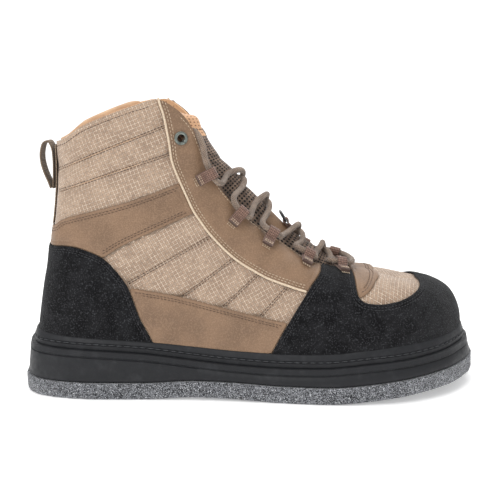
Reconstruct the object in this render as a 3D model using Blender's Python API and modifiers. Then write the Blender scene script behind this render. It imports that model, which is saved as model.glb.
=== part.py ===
"""Wading boot for the right foot: felt sole, rubber sidewall, hollow upper with overlays, tongue and lacing.

The toe points along +X, the lateral side is -Y and the floor is at Z = 0.
The origin lies under the middle of the sole.
"""
import math

import bmesh
import bpy
import numpy as np
from mathutils import Matrix

MM = 0.001

# Driving sizes of the sole
SOLE_LENGTH = 318 * MM
BALL_WIDTH = 118 * MM
FELT_THICKNESS = 11 * MM
FELT_EDGE = 0.8 * MM
SIDEWALL_INSET = 1.2 * MM
SIDEWALL_DRAFT = 2.2 * MM
HEEL_STACK = 34 * MM
TOE_SPRING = 9 * MM
GROOVE_DROP = 4.5 * MM
GROOVE_DEPTH = 0.8 * MM
RAND_HEIGHT = 9 * MM
RAND_INSET = 6.2 * MM
RAND_DRAFT = 1.8 * MM
UPPER_INSET = 10 * MM
INSOLE_THICKNESS = 3.5 * MM

# Driving sizes of the upper
COLLAR_HEIGHT = 198 * MM
COLLAR_WIDTH = 76 * MM
UPPER_WALL = 2.6 * MM
ANKLE_PINCH = 3.5 * MM
LEATHER_THICKNESS = 1.2 * MM
WRAP_THICKNESS = 1.7 * MM
LINING_THICKNESS = 3 * MM
LINING_RISE = 1.5 * MM
BACKSTRAP_WIDTH = 18 * MM
WEBBING_THICKNESS = 1.2 * MM

# Driving sizes of the tongue and the lacing
TONGUE_THICKNESS = 4.5 * MM
TAB_THICKNESS = 1.4 * MM
LACE_DIAMETER = 4 * MM
LOOP_WIDTH = 7.5 * MM
LOOP_LENGTH = 10 * MM
EYELET_DIAMETER = 9 * MM
EYELET_BORE = 4.8 * MM
EYELET_RIM = 0.9 * MM
RING_WIRE = 1.6 * MM
RING_WIDTH = 13 * MM
RING_LENGTH = 7.5 * MM
RING_TILT = math.radians(14)
KEEPER_WIDTH = 7 * MM
KEEPER_LENGTH = 6.5 * MM
PULL_WIDTH = 14 * MM
PULL_DEPTH = 8.5 * MM
PULL_HEIGHT = 32 * MM
PULL_FOOT = 138 * MM

# Clearances
GAP = 0.3 * MM
SEAM_GAP = 0.4 * MM
TONGUE_GAP = 1.3 * MM
TONGUE_LACE_ROOM = 4.3 * MM
LACE_GAP = 0.5 * MM
LACE_CLEAR = 0.6 * MM
EYELET_WALL = 0.5 * MM
BACKSTRAP_SHY = 2 * MM

# Rows of the mesh up each rib
RIB_ROWS = 8
# Ribs of the mesh. place: number of the rib from the heel. station: share of the way round to the toe.
RIB_PLACES = (
    (0, 0.00),
    (5, 0.15),
    (9, 0.33),
    (13, 0.45),
    (19, 0.75),
    (25, 1.00),
)
SIDE_STATIONS = RIB_PLACES[-1][0]
SEAM_STATION = RIB_PLACES[-2][0]
RING = 2 * SIDE_STATIONS
LINING_STATION = 8

# Sole outline. along: share of SOLE_LENGTH from the heel. lateral, medial: shares of half BALL_WIDTH.
SOLE_SIDES = (
    (0.000, -0.050, -0.050),
    (0.016, -0.457, 0.356),
    (0.063, -0.680, 0.576),
    (0.150, -0.795, 0.695),
    (0.283, -0.805, 0.686),
    (0.393, -0.830, 0.678),
    (0.519, -0.900, 0.797),
    (0.645, -0.985, 0.950),
    (0.740, -0.990, 1.000),
    (0.833, -0.898, 0.985),
    (0.918, -0.640, 0.890),
    (0.972, -0.300, 0.680),
    (0.991, -0.080, 0.490),
    (1.000, 0.200, 0.200),
)

# Heights along the sole. tread: share of TOE_SPRING. step: share of HEEL_STACK.
# rand: height above the step, share of RAND_HEIGHT.
SOLE_PROFILE = (
    (0.00, 0.00, 1.00, 1.00),
    (0.15, 0.00, 0.96, 0.86),
    (0.27, 0.00, 0.89, 0.84),
    (0.38, 0.20, 0.77, 0.94),
    (0.46, 0.16, 0.70, 0.97),
    (0.56, 0.00, 0.66, 1.00),
    (0.65, 0.00, 0.68, 1.00),
    (0.74, 0.22, 0.76, 1.00),
    (0.81, 0.46, 0.81, 1.06),
    (0.88, 0.70, 0.86, 1.06),
    (0.95, 0.88, 0.92, 1.00),
    (1.00, 1.00, 0.96, 1.00),
)

# Middle line of the last. along: share of SOLE_LENGTH. across: share of half BALL_WIDTH.
MIDLINE = (
    (0.00, -0.050),
    (0.35, -0.050),
    (0.55, -0.020),
    (0.75, 0.050),
    (0.85, 0.090),
    (1.00, 0.200),
)

# Sections of the upper, one rib each, from the heel to the toe.
# station: share of the way round the sole from heel to toe. reach: top of the rib, share of SOLE_LENGTH.
# lateral, medial: top of the rib off the middle line, shares of half COLLAR_WIDTH.
# height: top of the rib, share of COLLAR_HEIGHT. lean and dome: how late the rib runs inward and how
# early it climbs. arch: share of the whole arch that the rib covers. pinch: share of ANKLE_PINCH.
UPPER_SECTIONS = (
    (0.000, 0.082, 0.00, 0.00, 0.859, 1.0, 1.0, 0.8, 1.0),
    (0.060, 0.090, 0.43, 0.43, 0.861, 1.0, 1.0, 0.8, 1.0),
    (0.110, 0.113, 0.74, 0.74, 0.873, 1.0, 1.0, 0.8, 1.0),
    (0.165, 0.157, 0.94, 0.94, 0.916, 1.0, 1.0, 0.8, 1.0),
    (0.225, 0.214, 1.00, 1.00, 0.954, 1.1, 1.0, 0.8, 0.9),
    (0.285, 0.277, 0.96, 0.96, 0.989, 1.2, 1.0, 0.8, 0.6),
    (0.312, 0.305, 0.90, 0.90, 1.001, 1.3, 1.05, 0.8, 0.4),
    (0.344, 0.343, 0.76, 0.76, 0.970, 1.5, 1.1, 0.8, 0.2),
    (0.375, 0.372, 0.66, 0.66, 0.914, 1.7, 1.2, 0.8, 0.0),
    (0.406, 0.394, 0.61, 0.61, 0.815, 1.9, 1.3, 0.8, 0.0),
    (0.438, 0.431, 0.59, 0.59, 0.702, 2.0, 1.4, 0.8, 0.0),
    (0.500, 0.491, 0.57, 0.57, 0.595, 2.2, 1.6, 0.8, 0.0),
    (0.570, 0.560, 0.54, 0.54, 0.512, 2.3, 1.8, 0.8, 0.0),
    (0.635, 0.629, 0.50, 0.50, 0.441, 2.4, 2.0, 0.82, 0.0),
    (0.680, 0.673, 0.44, 0.44, 0.421, 2.4, 2.1, 0.86, 0.0),
    (0.719, 0.704, 0.31, 0.31, 0.407, 2.4, 2.2, 0.92, 0.0),
    (0.750, 0.723, 0.00, 0.00, 0.404, 2.3, 2.3, 1.0, 0.0),
    (0.800, 0.770, 0.00, 0.00, 0.391, 2.3, 2.3, 1.0, 0.0),
    (0.870, 0.805, 0.00, 0.00, 0.374, 2.3, 2.3, 1.0, 0.0),
    (1.000, 0.828, 0.00, 0.00, 0.364, 2.3, 2.3, 1.0, 0.0),
)

# Edges of the overlays seen from the side. along: share of SOLE_LENGTH. height: share of COLLAR_HEIGHT.
COUNTER_EDGE = (
    (-0.050, 0.508),
    (0.066, 0.508),
    (0.110, 0.514),
    (0.145, 0.507),
    (0.189, 0.478),
    (0.214, 0.439),
    (0.236, 0.392),
    (0.245, 0.360),
    (0.258, 0.297),
    (0.267, 0.260),
    (0.289, 0.192),
    (0.305, 0.120),
)
BAND_TOP = (
    (-0.050, 0.540),
    (0.072, 0.572),
    (0.113, 0.608),
    (0.242, 0.665),
    (0.349, 0.726),
    (0.450, 0.790),
)
BAND_FOOT = (
    (0.150, 0.440),
    (0.189, 0.477),
    (0.239, 0.526),
    (0.374, 0.624),
    (0.450, 0.675),
)
PIPING = (
    (0.302, 1.080),
    (0.308, 1.001),
    (0.318, 0.947),
    (0.327, 0.872),
    (0.333, 0.797),
    (0.349, 0.731),
    (0.368, 0.660),
    (0.384, 0.614),
    (0.415, 0.546),
    (0.462, 0.473),
    (0.516, 0.420),
    (0.541, 0.402),
    (0.594, 0.373),
    (0.640, 0.352),
)
SIDE_BAND_TOP = (
    (0.200, 0.392),
    (0.245, 0.376),
    (0.336, 0.350),
    (0.431, 0.313),
    (0.516, 0.281),
    (0.572, 0.263),
    (0.640, 0.245),
)
WRAP_REAR = (
    (0.652, 0.500),
    (0.646, 0.428),
    (0.619, 0.376),
    (0.575, 0.261),
    (0.541, 0.155),
    (0.525, 0.080),
)
WINDOW_EDGE = (
    (0.716, 0.500),
    (0.717, 0.400),
    (0.720, 0.354),
    (0.730, 0.335),
    (0.742, 0.327),
    (0.770, 0.323),
    (0.808, 0.329),
    (0.843, 0.345),
    (0.868, 0.366),
    (0.880, 0.400),
    (0.882, 0.440),
)
PATCH_FRONT = (
    (0.800, 0.440),
    (0.778, 0.398),
    (0.764, 0.386),
    (0.745, 0.359),
    (0.728, 0.345),
    (0.715, 0.340),
)

# Middle line of the tongue's face, from the vamp to its top. station: rib of the upper beside it.
# along: share of SOLE_LENGTH. height: share of COLLAR_HEIGHT. tuck: how far down the rib its edge reaches.
# room: share of TONGUE_LACE_ROOM that it keeps off the upper for the lace ends.
TONGUE_SECTIONS = (
    (0.735, 0.742, 0.367, 0.80, 0.0),
    (0.710, 0.716, 0.396, 0.78, 0.0),
    (0.680, 0.691, 0.432, 0.76, 0.0),
    (0.635, 0.650, 0.470, 0.75, 0.0),
    (0.570, 0.583, 0.538, 0.75, 0.0),
    (0.500, 0.519, 0.640, 0.76, 0.0),
    (0.450, 0.474, 0.722, 0.78, 0.3),
    (0.420, 0.437, 0.785, 0.80, 0.9),
    (0.395, 0.405, 0.850, 0.80, 1.0),
    (0.368, 0.385, 0.920, 0.80, 1.0),
    (0.350, 0.352, 0.958, 0.80, 1.0),
)
TONGUE_ACROSS = 12
TONGUE_ALONG = 12
TONGUE_LIP = 0.12

# Lace loops. station: rib of the upper whose top edge carries the loop.
LOOP_STATIONS = (0.417, 0.479, 0.543, 0.615, 0.690)
LOOP_RISE = 0.972
LOOP_ARC_STEPS = 6

# Crossings of the lace from the top. place: where the strands cross, along the tongue.
# over_tab: whether they also stand over the leather tab.
CROSSINGS = (
    (0.605, 0.0),
    (0.500, 1.0),
    (0.385, 1.0),
    (0.300, 0.0),
)
# A strand between two loops. across: share of the tongue's half width, from its own side to the other.
# pull: how far it has left the crossing for its loops. over: share of the hump of the strand on top.
STRAND = (
    (-0.27, -0.50, 0.10),
    (-0.13, -0.25, 0.50),
    (0.00, 0.00, 1.00),
    (0.13, 0.25, 0.50),
    (0.27, 0.50, 0.10),
)
SHOULDER = 0.31
SHOULDER_RISE = 1.02
LACE_STRAIGHT = 2.6 * MM
BAR_REACH = 4.5 * MM
BAR_SAG = 1.2 * MM

# The leather tab on the tongue and the ring on it, as places along the tongue and shares of its width.
TAB_PLACES = (0.405, 0.474)
TAB_ACROSS = 0.26
KEEPER_PLACE = 0.428

# The pull loop seen from the side, from its inner foot over its top to its outer foot.
# back: share of PULL_DEPTH behind the backstrap. up: share of PULL_HEIGHT.
PULL_LOOP = (
    (0.00, 0.00),
    (0.00, 0.30),
    (0.00, 0.62),
    (0.08, 0.86),
    (0.36, 1.00),
    (0.72, 0.97),
    (0.97, 0.80),
    (1.00, 0.60),
    (0.78, 0.36),
    (0.42, 0.14),
    (0.20, 0.00),
)

# Eyelets. station: rib of the upper. rise: height up the rib, as a share of its rows.
EYELET_PLACE = (0.355, 0.890)

# A lace end after it leaves the first loop. station and rise on the upper, where a rise above 1 is past
# its edge. lift: millimetres off its face, so below 0 inside the boot.
LACE_END = (
    (0.399, 0.995, 5.0),
    (0.394, 1.040, 3.0),
    (0.389, 1.050, -1.4),
    (0.384, 1.020, -5.0),
    (0.377, 0.950, -5.5),
    (0.367, 0.890, -5.5),
    (0.355, 0.840, -5.5),
    (0.342, 0.800, -5.5),
)


# Smooth tables and curves

def slopes_of(places, values):
    """Slope at each row: harmonic mean of its two neighbours' slopes, and level at a crest or a flat."""
    steps = np.diff(values) / np.diff(places)
    slopes = np.zeros(len(values))
    same_way = steps[:-1] * steps[1:] > 0
    before = steps[:-1][same_way]
    after = steps[1:][same_way]
    slopes[1:-1][same_way] = 2 * before * after / (before + after)
    slopes[0] = steps[0]
    slopes[-1] = steps[-1]
    return slopes


def graph(at, places, values):
    """Smooth graph through table rows, which never swings past them."""
    places = np.asarray(places, float)
    values = np.asarray(values, float)
    at = np.clip(np.asarray(at, float), places[0], places[-1])
    slopes = slopes_of(places, values)
    row = np.clip(np.searchsorted(places, at, side="right") - 1, 0, len(places) - 2)
    width = places[row + 1] - places[row]
    share = (at - places[row]) / width
    rise = share * share * (3 - 2 * share)
    start_pull = share * (1 - share) ** 2 * width * slopes[row]
    end_pull = share * share * (share - 1) * width * slopes[row + 1]
    return values[row] * (1 - rise) + values[row + 1] * rise + start_pull + end_pull


def curve_at(points, at, closed=False):
    """Points of a smooth curve through rows of points, at shares from 0 to the number of gaps."""
    rows = np.asarray(points, float)
    count = len(rows)
    at = np.asarray(at, float)
    low = np.floor(at).astype(int)
    if not closed:
        low = np.clip(low, 0, count - 2)
    share = (at - low)[..., None]

    def row(index):
        if closed:
            return rows[index % count]
        return rows[np.clip(index, 0, count - 1)]

    first, second, third, fourth = row(low - 1), row(low), row(low + 1), row(low + 2)
    pull_in = (third - first) / 2
    pull_out = (fourth - second) / 2
    rise = share * share * (3 - 2 * share)
    return (second * (1 - rise) + third * rise
            + share * (1 - share) ** 2 * pull_in
            + share * share * (share - 1) * pull_out)


def curve_through(points, count, closed=False):
    """Evenly spaced points along a smooth curve through the given ones."""
    gaps = len(points) if closed else len(points) - 1
    fine = np.linspace(0, gaps, gaps * 16 + 1)
    dense = curve_at(points, fine, closed)
    lengths = np.linalg.norm(np.diff(dense, axis=0), axis=1)
    walked = np.concatenate([[0], np.cumsum(lengths)])
    wanted = np.linspace(0, walked[-1], count, endpoint=not closed)
    return curve_at(points, np.interp(wanted, walked, fine), closed)


def columns(table):
    """The columns of a table as arrays."""
    return [np.array(column, float) for column in zip(*table)]


def from_heel(share):
    """X of a place given as a share of the sole's length from the heel."""
    return (np.asarray(share, float) - 0.5) * SOLE_LENGTH


def to_share(x):
    """Share of the sole's length from the heel at X."""
    return np.asarray(x, float) / SOLE_LENGTH + 0.5


def station_of(place):
    """Station of a rib of the mesh."""
    number, station = columns(RIB_PLACES)
    return np.interp(place, number, station)


# The sole's outline and heights

def sole_rail(station, side, inset):
    """Plan points of the outline at stations from heel (0) to toe (1), moved inward by inset.

    side is -1 on the lateral side and +1 on the medial side.
    """
    along, lateral, medial = columns(SOLE_SIDES)
    half = BALL_WIDTH / 2
    out = np.stack([from_heel(along), lateral * half], axis=1)
    back = np.stack([from_heel(along), medial * half], axis=1)[-2:0:-1]
    loop = np.concatenate([out, back])
    gaps = len(loop)
    fine = np.linspace(0, gaps, gaps * 24 + 1)
    dense = curve_at(loop, fine, True)
    walked = np.concatenate([[0], np.cumsum(np.linalg.norm(np.diff(dense, axis=0), axis=1))])
    toe = walked[(len(along) - 1) * 24]
    station = np.asarray(station, float)
    if side < 0:
        wanted = station * toe
    else:
        wanted = walked[-1] - station * (walked[-1] - toe)
    at = np.interp(wanted, walked, fine)
    reach = 0.02
    ahead = curve_at(loop, (at + reach) % gaps, True)
    behind = curve_at(loop, (at - reach) % gaps, True)
    heading = (ahead - behind) / np.linalg.norm(ahead - behind, axis=-1, keepdims=True)
    outward = np.stack([heading[..., 1], -heading[..., 0]], axis=-1)
    return curve_at(loop, at % gaps, True) - outward * inset


def ring_of(inset):
    """The whole outline, moved inward: heel, lateral side, toe, medial side."""
    lateral = sole_rail(station_of(np.arange(SIDE_STATIONS + 1)), -1, inset)
    medial = sole_rail(station_of(np.arange(SIDE_STATIONS - 1, 0, -1)), 1, inset)
    return np.concatenate([lateral, medial])


def tread_height(x):
    """Height of the felt's underside."""
    along, tread, step, rand = columns(SOLE_PROFILE)
    return graph(to_share(x), along, tread * TOE_SPRING)


def step_height(x):
    """Height of the sidewall's top edge, where the rand and the upper stand."""
    along, tread, step, rand = columns(SOLE_PROFILE)
    return graph(to_share(x), along, step * HEEL_STACK)


def rand_height(x):
    """Height of the rand's top edge."""
    along, tread, step, rand = columns(SOLE_PROFILE)
    return step_height(x) + graph(to_share(x), along, rand * RAND_HEIGHT)


def middle(x):
    """Y of the last's middle line."""
    along, across = columns(MIDLINE)
    return graph(to_share(x), along, across * BALL_WIDTH / 2)


# The upper's function

def upper_point(station, rise, side, lift=0.0):
    """Points of the upper's outer face.

    A rib rises from the feather line to the top line. Its run inward is rise ** lean, and its climb is
    1 - (1 - arch * rise) ** dome, brought to 1 at the top. The ankle is pinched inward by a low wave.
    """
    station = np.asarray(station, float)
    rise = np.asarray(rise, float)
    place, reach, lateral, medial, height, lean, dome, arch, pinch = columns(UPPER_SECTIONS)
    sideways = lateral if side < 0 else medial

    def column(values):
        mirrored_place = np.concatenate([-place[:0:-1], place])
        mirrored = np.concatenate([values[:0:-1], values])
        return graph(station, mirrored_place, mirrored)

    foot = sole_rail(station, side, UPPER_INSET)
    foot_z = step_height(foot[..., 0]) + GAP
    top_x = from_heel(column(reach))
    across = graph(station, np.concatenate([-place[:0:-1], place]),
                   np.concatenate([-sideways[:0:-1], sideways]))
    top_y = middle(top_x) + side * across * COLLAR_WIDTH / 2
    top_z = column(height) * COLLAR_HEIGHT
    covered = column(arch)
    curl = column(dome)
    run = rise ** column(lean)
    climb = (1 - (1 - covered * rise) ** curl) / (1 - (1 - covered) ** curl)
    wave = np.sin(math.pi * rise ** 1.8) * column(pinch) * ANKLE_PINCH
    inward = sole_rail(station, side, UPPER_INSET + MM) - foot
    inward = inward / np.linalg.norm(inward, axis=-1, keepdims=True)
    x = foot[..., 0] + (top_x - foot[..., 0]) * run + inward[..., 0] * wave
    y = foot[..., 1] + (top_y - foot[..., 1]) * run + inward[..., 1] * wave
    z = foot_z + (top_z - foot_z) * climb
    points = np.stack([x, y, z], axis=-1)
    if np.any(lift):
        points = points + upper_normal(station, rise, side) * np.asarray(lift)[..., None]
    return points


def upper_normal(station, rise, side):
    """Outward direction of the upper's face."""
    step = 0.004
    station = np.asarray(station, float)
    rise = np.clip(np.asarray(rise, float), step, 1 - step)
    along = upper_point(station + step, rise, side) - upper_point(station - step, rise, side)
    up = upper_point(station, rise + step, side) - upper_point(station, rise - step, side)
    normal = np.cross(along, up) * -side
    return normal / np.linalg.norm(normal, axis=-1, keepdims=True)


# Mesh helpers

def new_material(name, colour, roughness, metallic=0.0):
    """A Principled material."""
    material = bpy.data.materials.new(name)
    material.use_nodes = True
    shader = material.node_tree.nodes["Principled BSDF"]
    shader.inputs["Base Color"].default_value = (*colour, 1.0)
    shader.inputs["Roughness"].default_value = roughness
    shader.inputs["Metallic"].default_value = metallic
    return material


def new_object(name, points, faces, group, material=None):
    """A mesh object from points and faces, in a collection."""
    mesh = bpy.data.meshes.new(name)
    mesh.from_pydata([tuple(float(value) for value in point) for point in points], [], faces)
    mesh.update()
    item = bpy.data.objects.new(name, mesh)
    group.objects.link(item)
    if material:
        mesh.materials.append(material)
    return item


def smooth(item, degrees=35):
    """Shade a round piece smooth, with its sharp edges kept."""
    item.data.shade_smooth()
    item.data.set_sharp_from_angle(angle=math.radians(degrees))


def cap_faces(first, upward):
    """Faces across a ring of the sole, from the lateral side to the medial side."""
    faces = [(first, first + 1, first + RING - 1)]
    for place in range(1, SIDE_STATIONS - 1):
        faces.append((first + place, first + place + 1, first + RING - place - 1, first + RING - place))
    faces.append((first + SIDE_STATIONS - 1, first + SIDE_STATIONS, first + SIDE_STATIONS + 1))
    if upward:
        return faces
    return [face[::-1] for face in faces]


def wall_faces(rings, joined):
    """Faces between rings of the sole, and from the last back to the first where joined."""
    faces = []
    for low in range(rings if joined else rings - 1):
        high = (low + 1) % rings
        for place in range(RING):
            after = (place + 1) % RING
            faces.append((low * RING + place, low * RING + after, high * RING + after, high * RING + place))
    return faces


def sole_layer(name, sections, group, material, joined=False):
    """A layer of the sole: each section is an inset and a height rule, from the bottom up."""
    points = []
    for inset, height in sections:
        plan = ring_of(inset)
        points.append(np.column_stack([plan, height(plan[:, 0])]))
    faces = wall_faces(len(sections), joined)
    if not joined:
        faces += cap_faces(0, False)
        faces += cap_faces((len(sections) - 1) * RING, True)
    item = new_object(name, np.concatenate(points), faces, group, material)
    smooth(item)
    return item


def above(rule, rise):
    """A height rule moved up by rise."""
    return lambda x: rule(x) + rise


def add_solidify(item, thickness, outward):
    """Give an open surface its wall."""
    wall = item.modifiers.new("wall", "SOLIDIFY")
    wall.thickness = thickness
    wall.offset = 1.0 if outward else -1.0
    wall.use_even_offset = False


def add_boolean(item, cutter, operation):
    """Cut or trim a solid with another."""
    cut = item.modifiers.new("cut", "BOOLEAN")
    cut.operation = operation
    cut.solver = "EXACT"
    cut.object = cutter
    cutter.hide_render = True
    cutter.display_type = "WIRE"


def skin(name, group, material, lift=0.0):
    """The whole face of the upper as an open surface, welded along the vamp's middle line."""
    rise = np.linspace(0, 1, RIB_ROWS + 1)
    points = []
    for place in range(RING):
        side = -1 if place <= SIDE_STATIONS else 1
        station = float(station_of(min(place, RING - place)))
        stations = np.full(RIB_ROWS + 1, station)
        points.append(upper_point(stations, rise, side, np.full(RIB_ROWS + 1, lift)))
    points = np.concatenate(points)
    rows = RIB_ROWS + 1

    def corner(place, row):
        place = place % RING
        if row == RIB_ROWS and SIDE_STATIONS < place <= RING - SEAM_STATION:
            place = RING - place
        return place * rows + row

    faces = []
    for place in range(RING):
        for row in range(RIB_ROWS):
            low, low_next = corner(place, row), corner(place + 1, row)
            high, high_next = corner(place, row + 1), corner(place + 1, row + 1)
            faces.append((low, low_next, high_next))
            faces.append((low, high_next, high))
    used = sorted({index for face in faces for index in face})
    renumber = {old: new for new, old in enumerate(used)}
    faces = [tuple(renumber[index] for index in face) for face in faces]
    item = new_object(name, points[used], faces, group, material)
    smooth(item)
    return item


# Outlines seen from the side

def edge_line(table, count=24, shift=0.0):
    """A smooth edge seen from the side, moved to its left by shift."""
    rows = [(float(from_heel(along)), height * COLLAR_HEIGHT) for along, height in table]
    line = curve_through(rows, count)
    if shift:
        heading = np.gradient(line, axis=0)
        heading /= np.linalg.norm(heading, axis=1, keepdims=True)
        line = line + np.stack([-heading[:, 1], heading[:, 0]], axis=1) * shift
    return line


def rand_line(start, end, count=16):
    """The top of the rand seen from the side, with its clearance."""
    x = np.linspace(from_heel(start), from_heel(end), count)
    return np.stack([x, rand_height(x) + GAP], axis=1)


def side_prism(name, outline, low, high, group):
    """A flat outline seen from the side, run through from Y low to Y high."""
    form = bmesh.new()
    corners = [form.verts.new((float(x), low, float(z))) for x, z in outline]
    face = form.faces.new(corners)
    pushed = bmesh.ops.extrude_face_region(form, geom=[face])
    moved = [part for part in pushed["geom"] if isinstance(part, bmesh.types.BMVert)]
    bmesh.ops.translate(form, verts=moved, vec=(0, high - low, 0))
    bmesh.ops.recalc_face_normals(form, faces=form.faces[:])
    mesh = bpy.data.meshes.new(name)
    form.to_mesh(mesh)
    form.free()
    item = bpy.data.objects.new(name, mesh)
    group.objects.link(item)
    return item


def line_crossing(first, second):
    """Where two edge lines cross, as the place along each."""
    best = None
    for low in range(len(first) - 1):
        for other in range(len(second) - 1):
            a, b = first[low], first[low + 1]
            c, d = second[other], second[other + 1]
            ab, cd = b - a, d - c
            turn = ab[0] * cd[1] - ab[1] * cd[0]
            if abs(turn) < 1e-12:
                continue
            share = ((c - a)[0] * cd[1] - (c - a)[1] * cd[0]) / turn
            other_share = ((c - a)[0] * ab[1] - (c - a)[1] * ab[0]) / turn
            if 0 <= share <= 1 and 0 <= other_share <= 1:
                best = (low, other, a + ab * share)
    return best


def cut_after(first, second):
    """The first line from its start to where it meets the second."""
    low, other, meeting = line_crossing(first, second)
    return np.vstack([first[:low + 1], meeting])


def cut_before(first, second):
    """The first line from where it meets the second to its end."""
    low, other, meeting = line_crossing(first, second)
    return np.vstack([meeting, first[low + 1:]])


def between(line, start_line, end_line):
    """The part of a line between two others."""
    return cut_after(cut_before(line, start_line), end_line)


# The sole

def build_sole(parts, materials):
    """Felt, sidewall, rand and insole."""
    felt_top = above(tread_height, FELT_THICKNESS)
    sole_layer("felt_outsole", (
        (FELT_EDGE, tread_height),
        (0.0, above(tread_height, FELT_THICKNESS * 0.35)),
        (FELT_EDGE * 0.4, felt_top),
    ), parts, materials["felt"])
    foot = above(felt_top, GAP)
    groove = SIDEWALL_INSET + SIDEWALL_DRAFT * 0.75
    sole_layer("midsole", (
        (SIDEWALL_INSET + FELT_EDGE, foot),
        (SIDEWALL_INSET, above(foot, 2 * FELT_EDGE)),
        (groove, above(step_height, -GROOVE_DROP - GROOVE_DEPTH)),
        (groove + GROOVE_DEPTH, above(step_height, -GROOVE_DROP)),
        (groove, above(step_height, -GROOVE_DROP + GROOVE_DEPTH)),
        (SIDEWALL_INSET + SIDEWALL_DRAFT, above(step_height, -FELT_EDGE)),
        (SIDEWALL_INSET + SIDEWALL_DRAFT + FELT_EDGE, step_height),
    ), parts, materials["rubber"])
    stand = above(step_height, GAP)
    inner = UPPER_INSET - GAP
    sole_layer("rand", (
        (RAND_INSET, stand),
        (RAND_INSET + GROOVE_DEPTH, above(stand, RAND_HEIGHT * 0.42)),
        (RAND_INSET + RAND_DRAFT * 0.3, above(stand, RAND_HEIGHT * 0.54)),
        (RAND_INSET + RAND_DRAFT, above(rand_height, -FELT_EDGE)),
        (RAND_INSET + RAND_DRAFT + FELT_EDGE, rand_height),
        (inner, above(rand_height, -FELT_EDGE / 2)),
        (inner, stand),
    ), parts, materials["rubber"], joined=True)
    bed = UPPER_INSET + UPPER_WALL + 3 * GAP
    sole_layer("insole", (
        (bed + FELT_EDGE, stand),
        (bed + FELT_EDGE / 2, above(stand, INSOLE_THICKNESS / 2)),
        (bed + FELT_EDGE, above(stand, INSOLE_THICKNESS)),
    ), parts, materials["lining"])


# The upper and what is sewn to it

def cut_overlay(name, outline, side, thickness, parts, cutters, material):
    """An overlay: a shell on the upper's own face, trimmed to an outline seen from the side."""
    item = skin(name, parts, material, GAP)
    add_solidify(item, thickness, True)
    reach = BALL_WIDTH
    centre = float(middle(0.0))
    low = centre if side > 0 else -reach
    high = centre if side < 0 else reach
    add_boolean(item, side_prism(name + "_outline", outline, low, high, cutters), "INTERSECT")
    return item


def overlay_outlines():
    """Closed outlines of the overlays, from the edges that they share."""
    half = SEAM_GAP / 2
    far = 1.15 * COLLAR_HEIGHT
    heel = float(from_heel(-0.04))
    toe = float(from_heel(1.04))
    rand = rand_line(-0.04, 1.04, 30)
    counter_in = edge_line(COUNTER_EDGE, 20, -half)
    counter_out = edge_line(COUNTER_EDGE, 20, half)
    wrap_back = edge_line(WRAP_REAR, 10, -half)
    wrap_front = edge_line(WRAP_REAR, 10, half)
    piping = edge_line(PIPING, 18, half)
    outlines = {}
    outlines["heel_counter"] = np.vstack([
        rand[rand[:, 0] < line_crossing(counter_in, rand)[2][0]],
        cut_after(counter_in, rand)[::-1],
    ])
    wrap_low = cut_after(wrap_front, rand)
    window = edge_line(WINDOW_EDGE, 18, -half)
    outlines["forefoot_wrap"] = np.vstack([
        wrap_low,
        rand[rand[:, 0] > wrap_low[-1][0] + MM],
        [(toe, window[-1][1])],
        window[::-1],
    ])
    patch = edge_line(PATCH_FRONT, 10)
    window_in = edge_line(WINDOW_EDGE, 18, half)
    outlines["vamp_patch"] = np.vstack([
        cut_after(window_in, patch),
        cut_after(patch, window_in)[::-1],
    ])
    outlines["eyestay"] = np.vstack([
        cut_after(piping, wrap_back),
        cut_after(wrap_back, piping)[::-1],
        [(float(from_heel(0.66)), far), (float(from_heel(0.30)), far)],
    ])
    piping_back = edge_line(PIPING, 18, -half)
    band_top = edge_line(BAND_TOP, 12)
    band_foot = edge_line(BAND_FOOT, 9)
    outlines["ankle_band"] = np.vstack([
        cut_after(counter_out, band_foot),
        between(band_foot, counter_out, piping_back)[1:],
        cut_after(band_top, piping_back)[::-1],
    ])
    side_top = edge_line(SIDE_BAND_TOP, 10)
    outlines["side_band"] = np.vstack([
        between(counter_out, side_top, rand),
        rand[(rand[:, 0] > line_crossing(counter_out, rand)[2][0] + MM)
             & (rand[:, 0] < line_crossing(wrap_back, rand)[2][0] - MM)],
        between(wrap_back, side_top, rand)[::-1],
        between(side_top, counter_out, wrap_back)[1:-1][::-1],
    ])
    return outlines


def build_upper(parts, cutters, materials):
    """The hollow upper, its lining and its overlays."""
    upper = skin("upper", parts, materials["ripstop"])
    add_solidify(upper, UPPER_WALL, False)
    outlines = overlay_outlines()
    for name, thickness, finish in (
            ("forefoot_wrap", WRAP_THICKNESS, "black"),
            ("heel_counter", WRAP_THICKNESS, "black"),
            ("ankle_band", LEATHER_THICKNESS, "leather"),
            ("vamp_patch", LEATHER_THICKNESS, "leather")):
        cut_overlay(name, outlines[name], 0, thickness, parts, cutters, materials[finish])
    for label, side in (("lateral", -1), ("medial", 1)):
        facing = cut_overlay("eyestay_" + label, outlines["eyestay"], side, LEATHER_THICKNESS,
                             parts, cutters, materials["leather"])
        cut_overlay("side_band_" + label, outlines["side_band"], side, LEATHER_THICKNESS,
                    parts, cutters, materials["leather"])
        build_eyelet(label, side, upper, facing, parts, cutters, materials)


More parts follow.
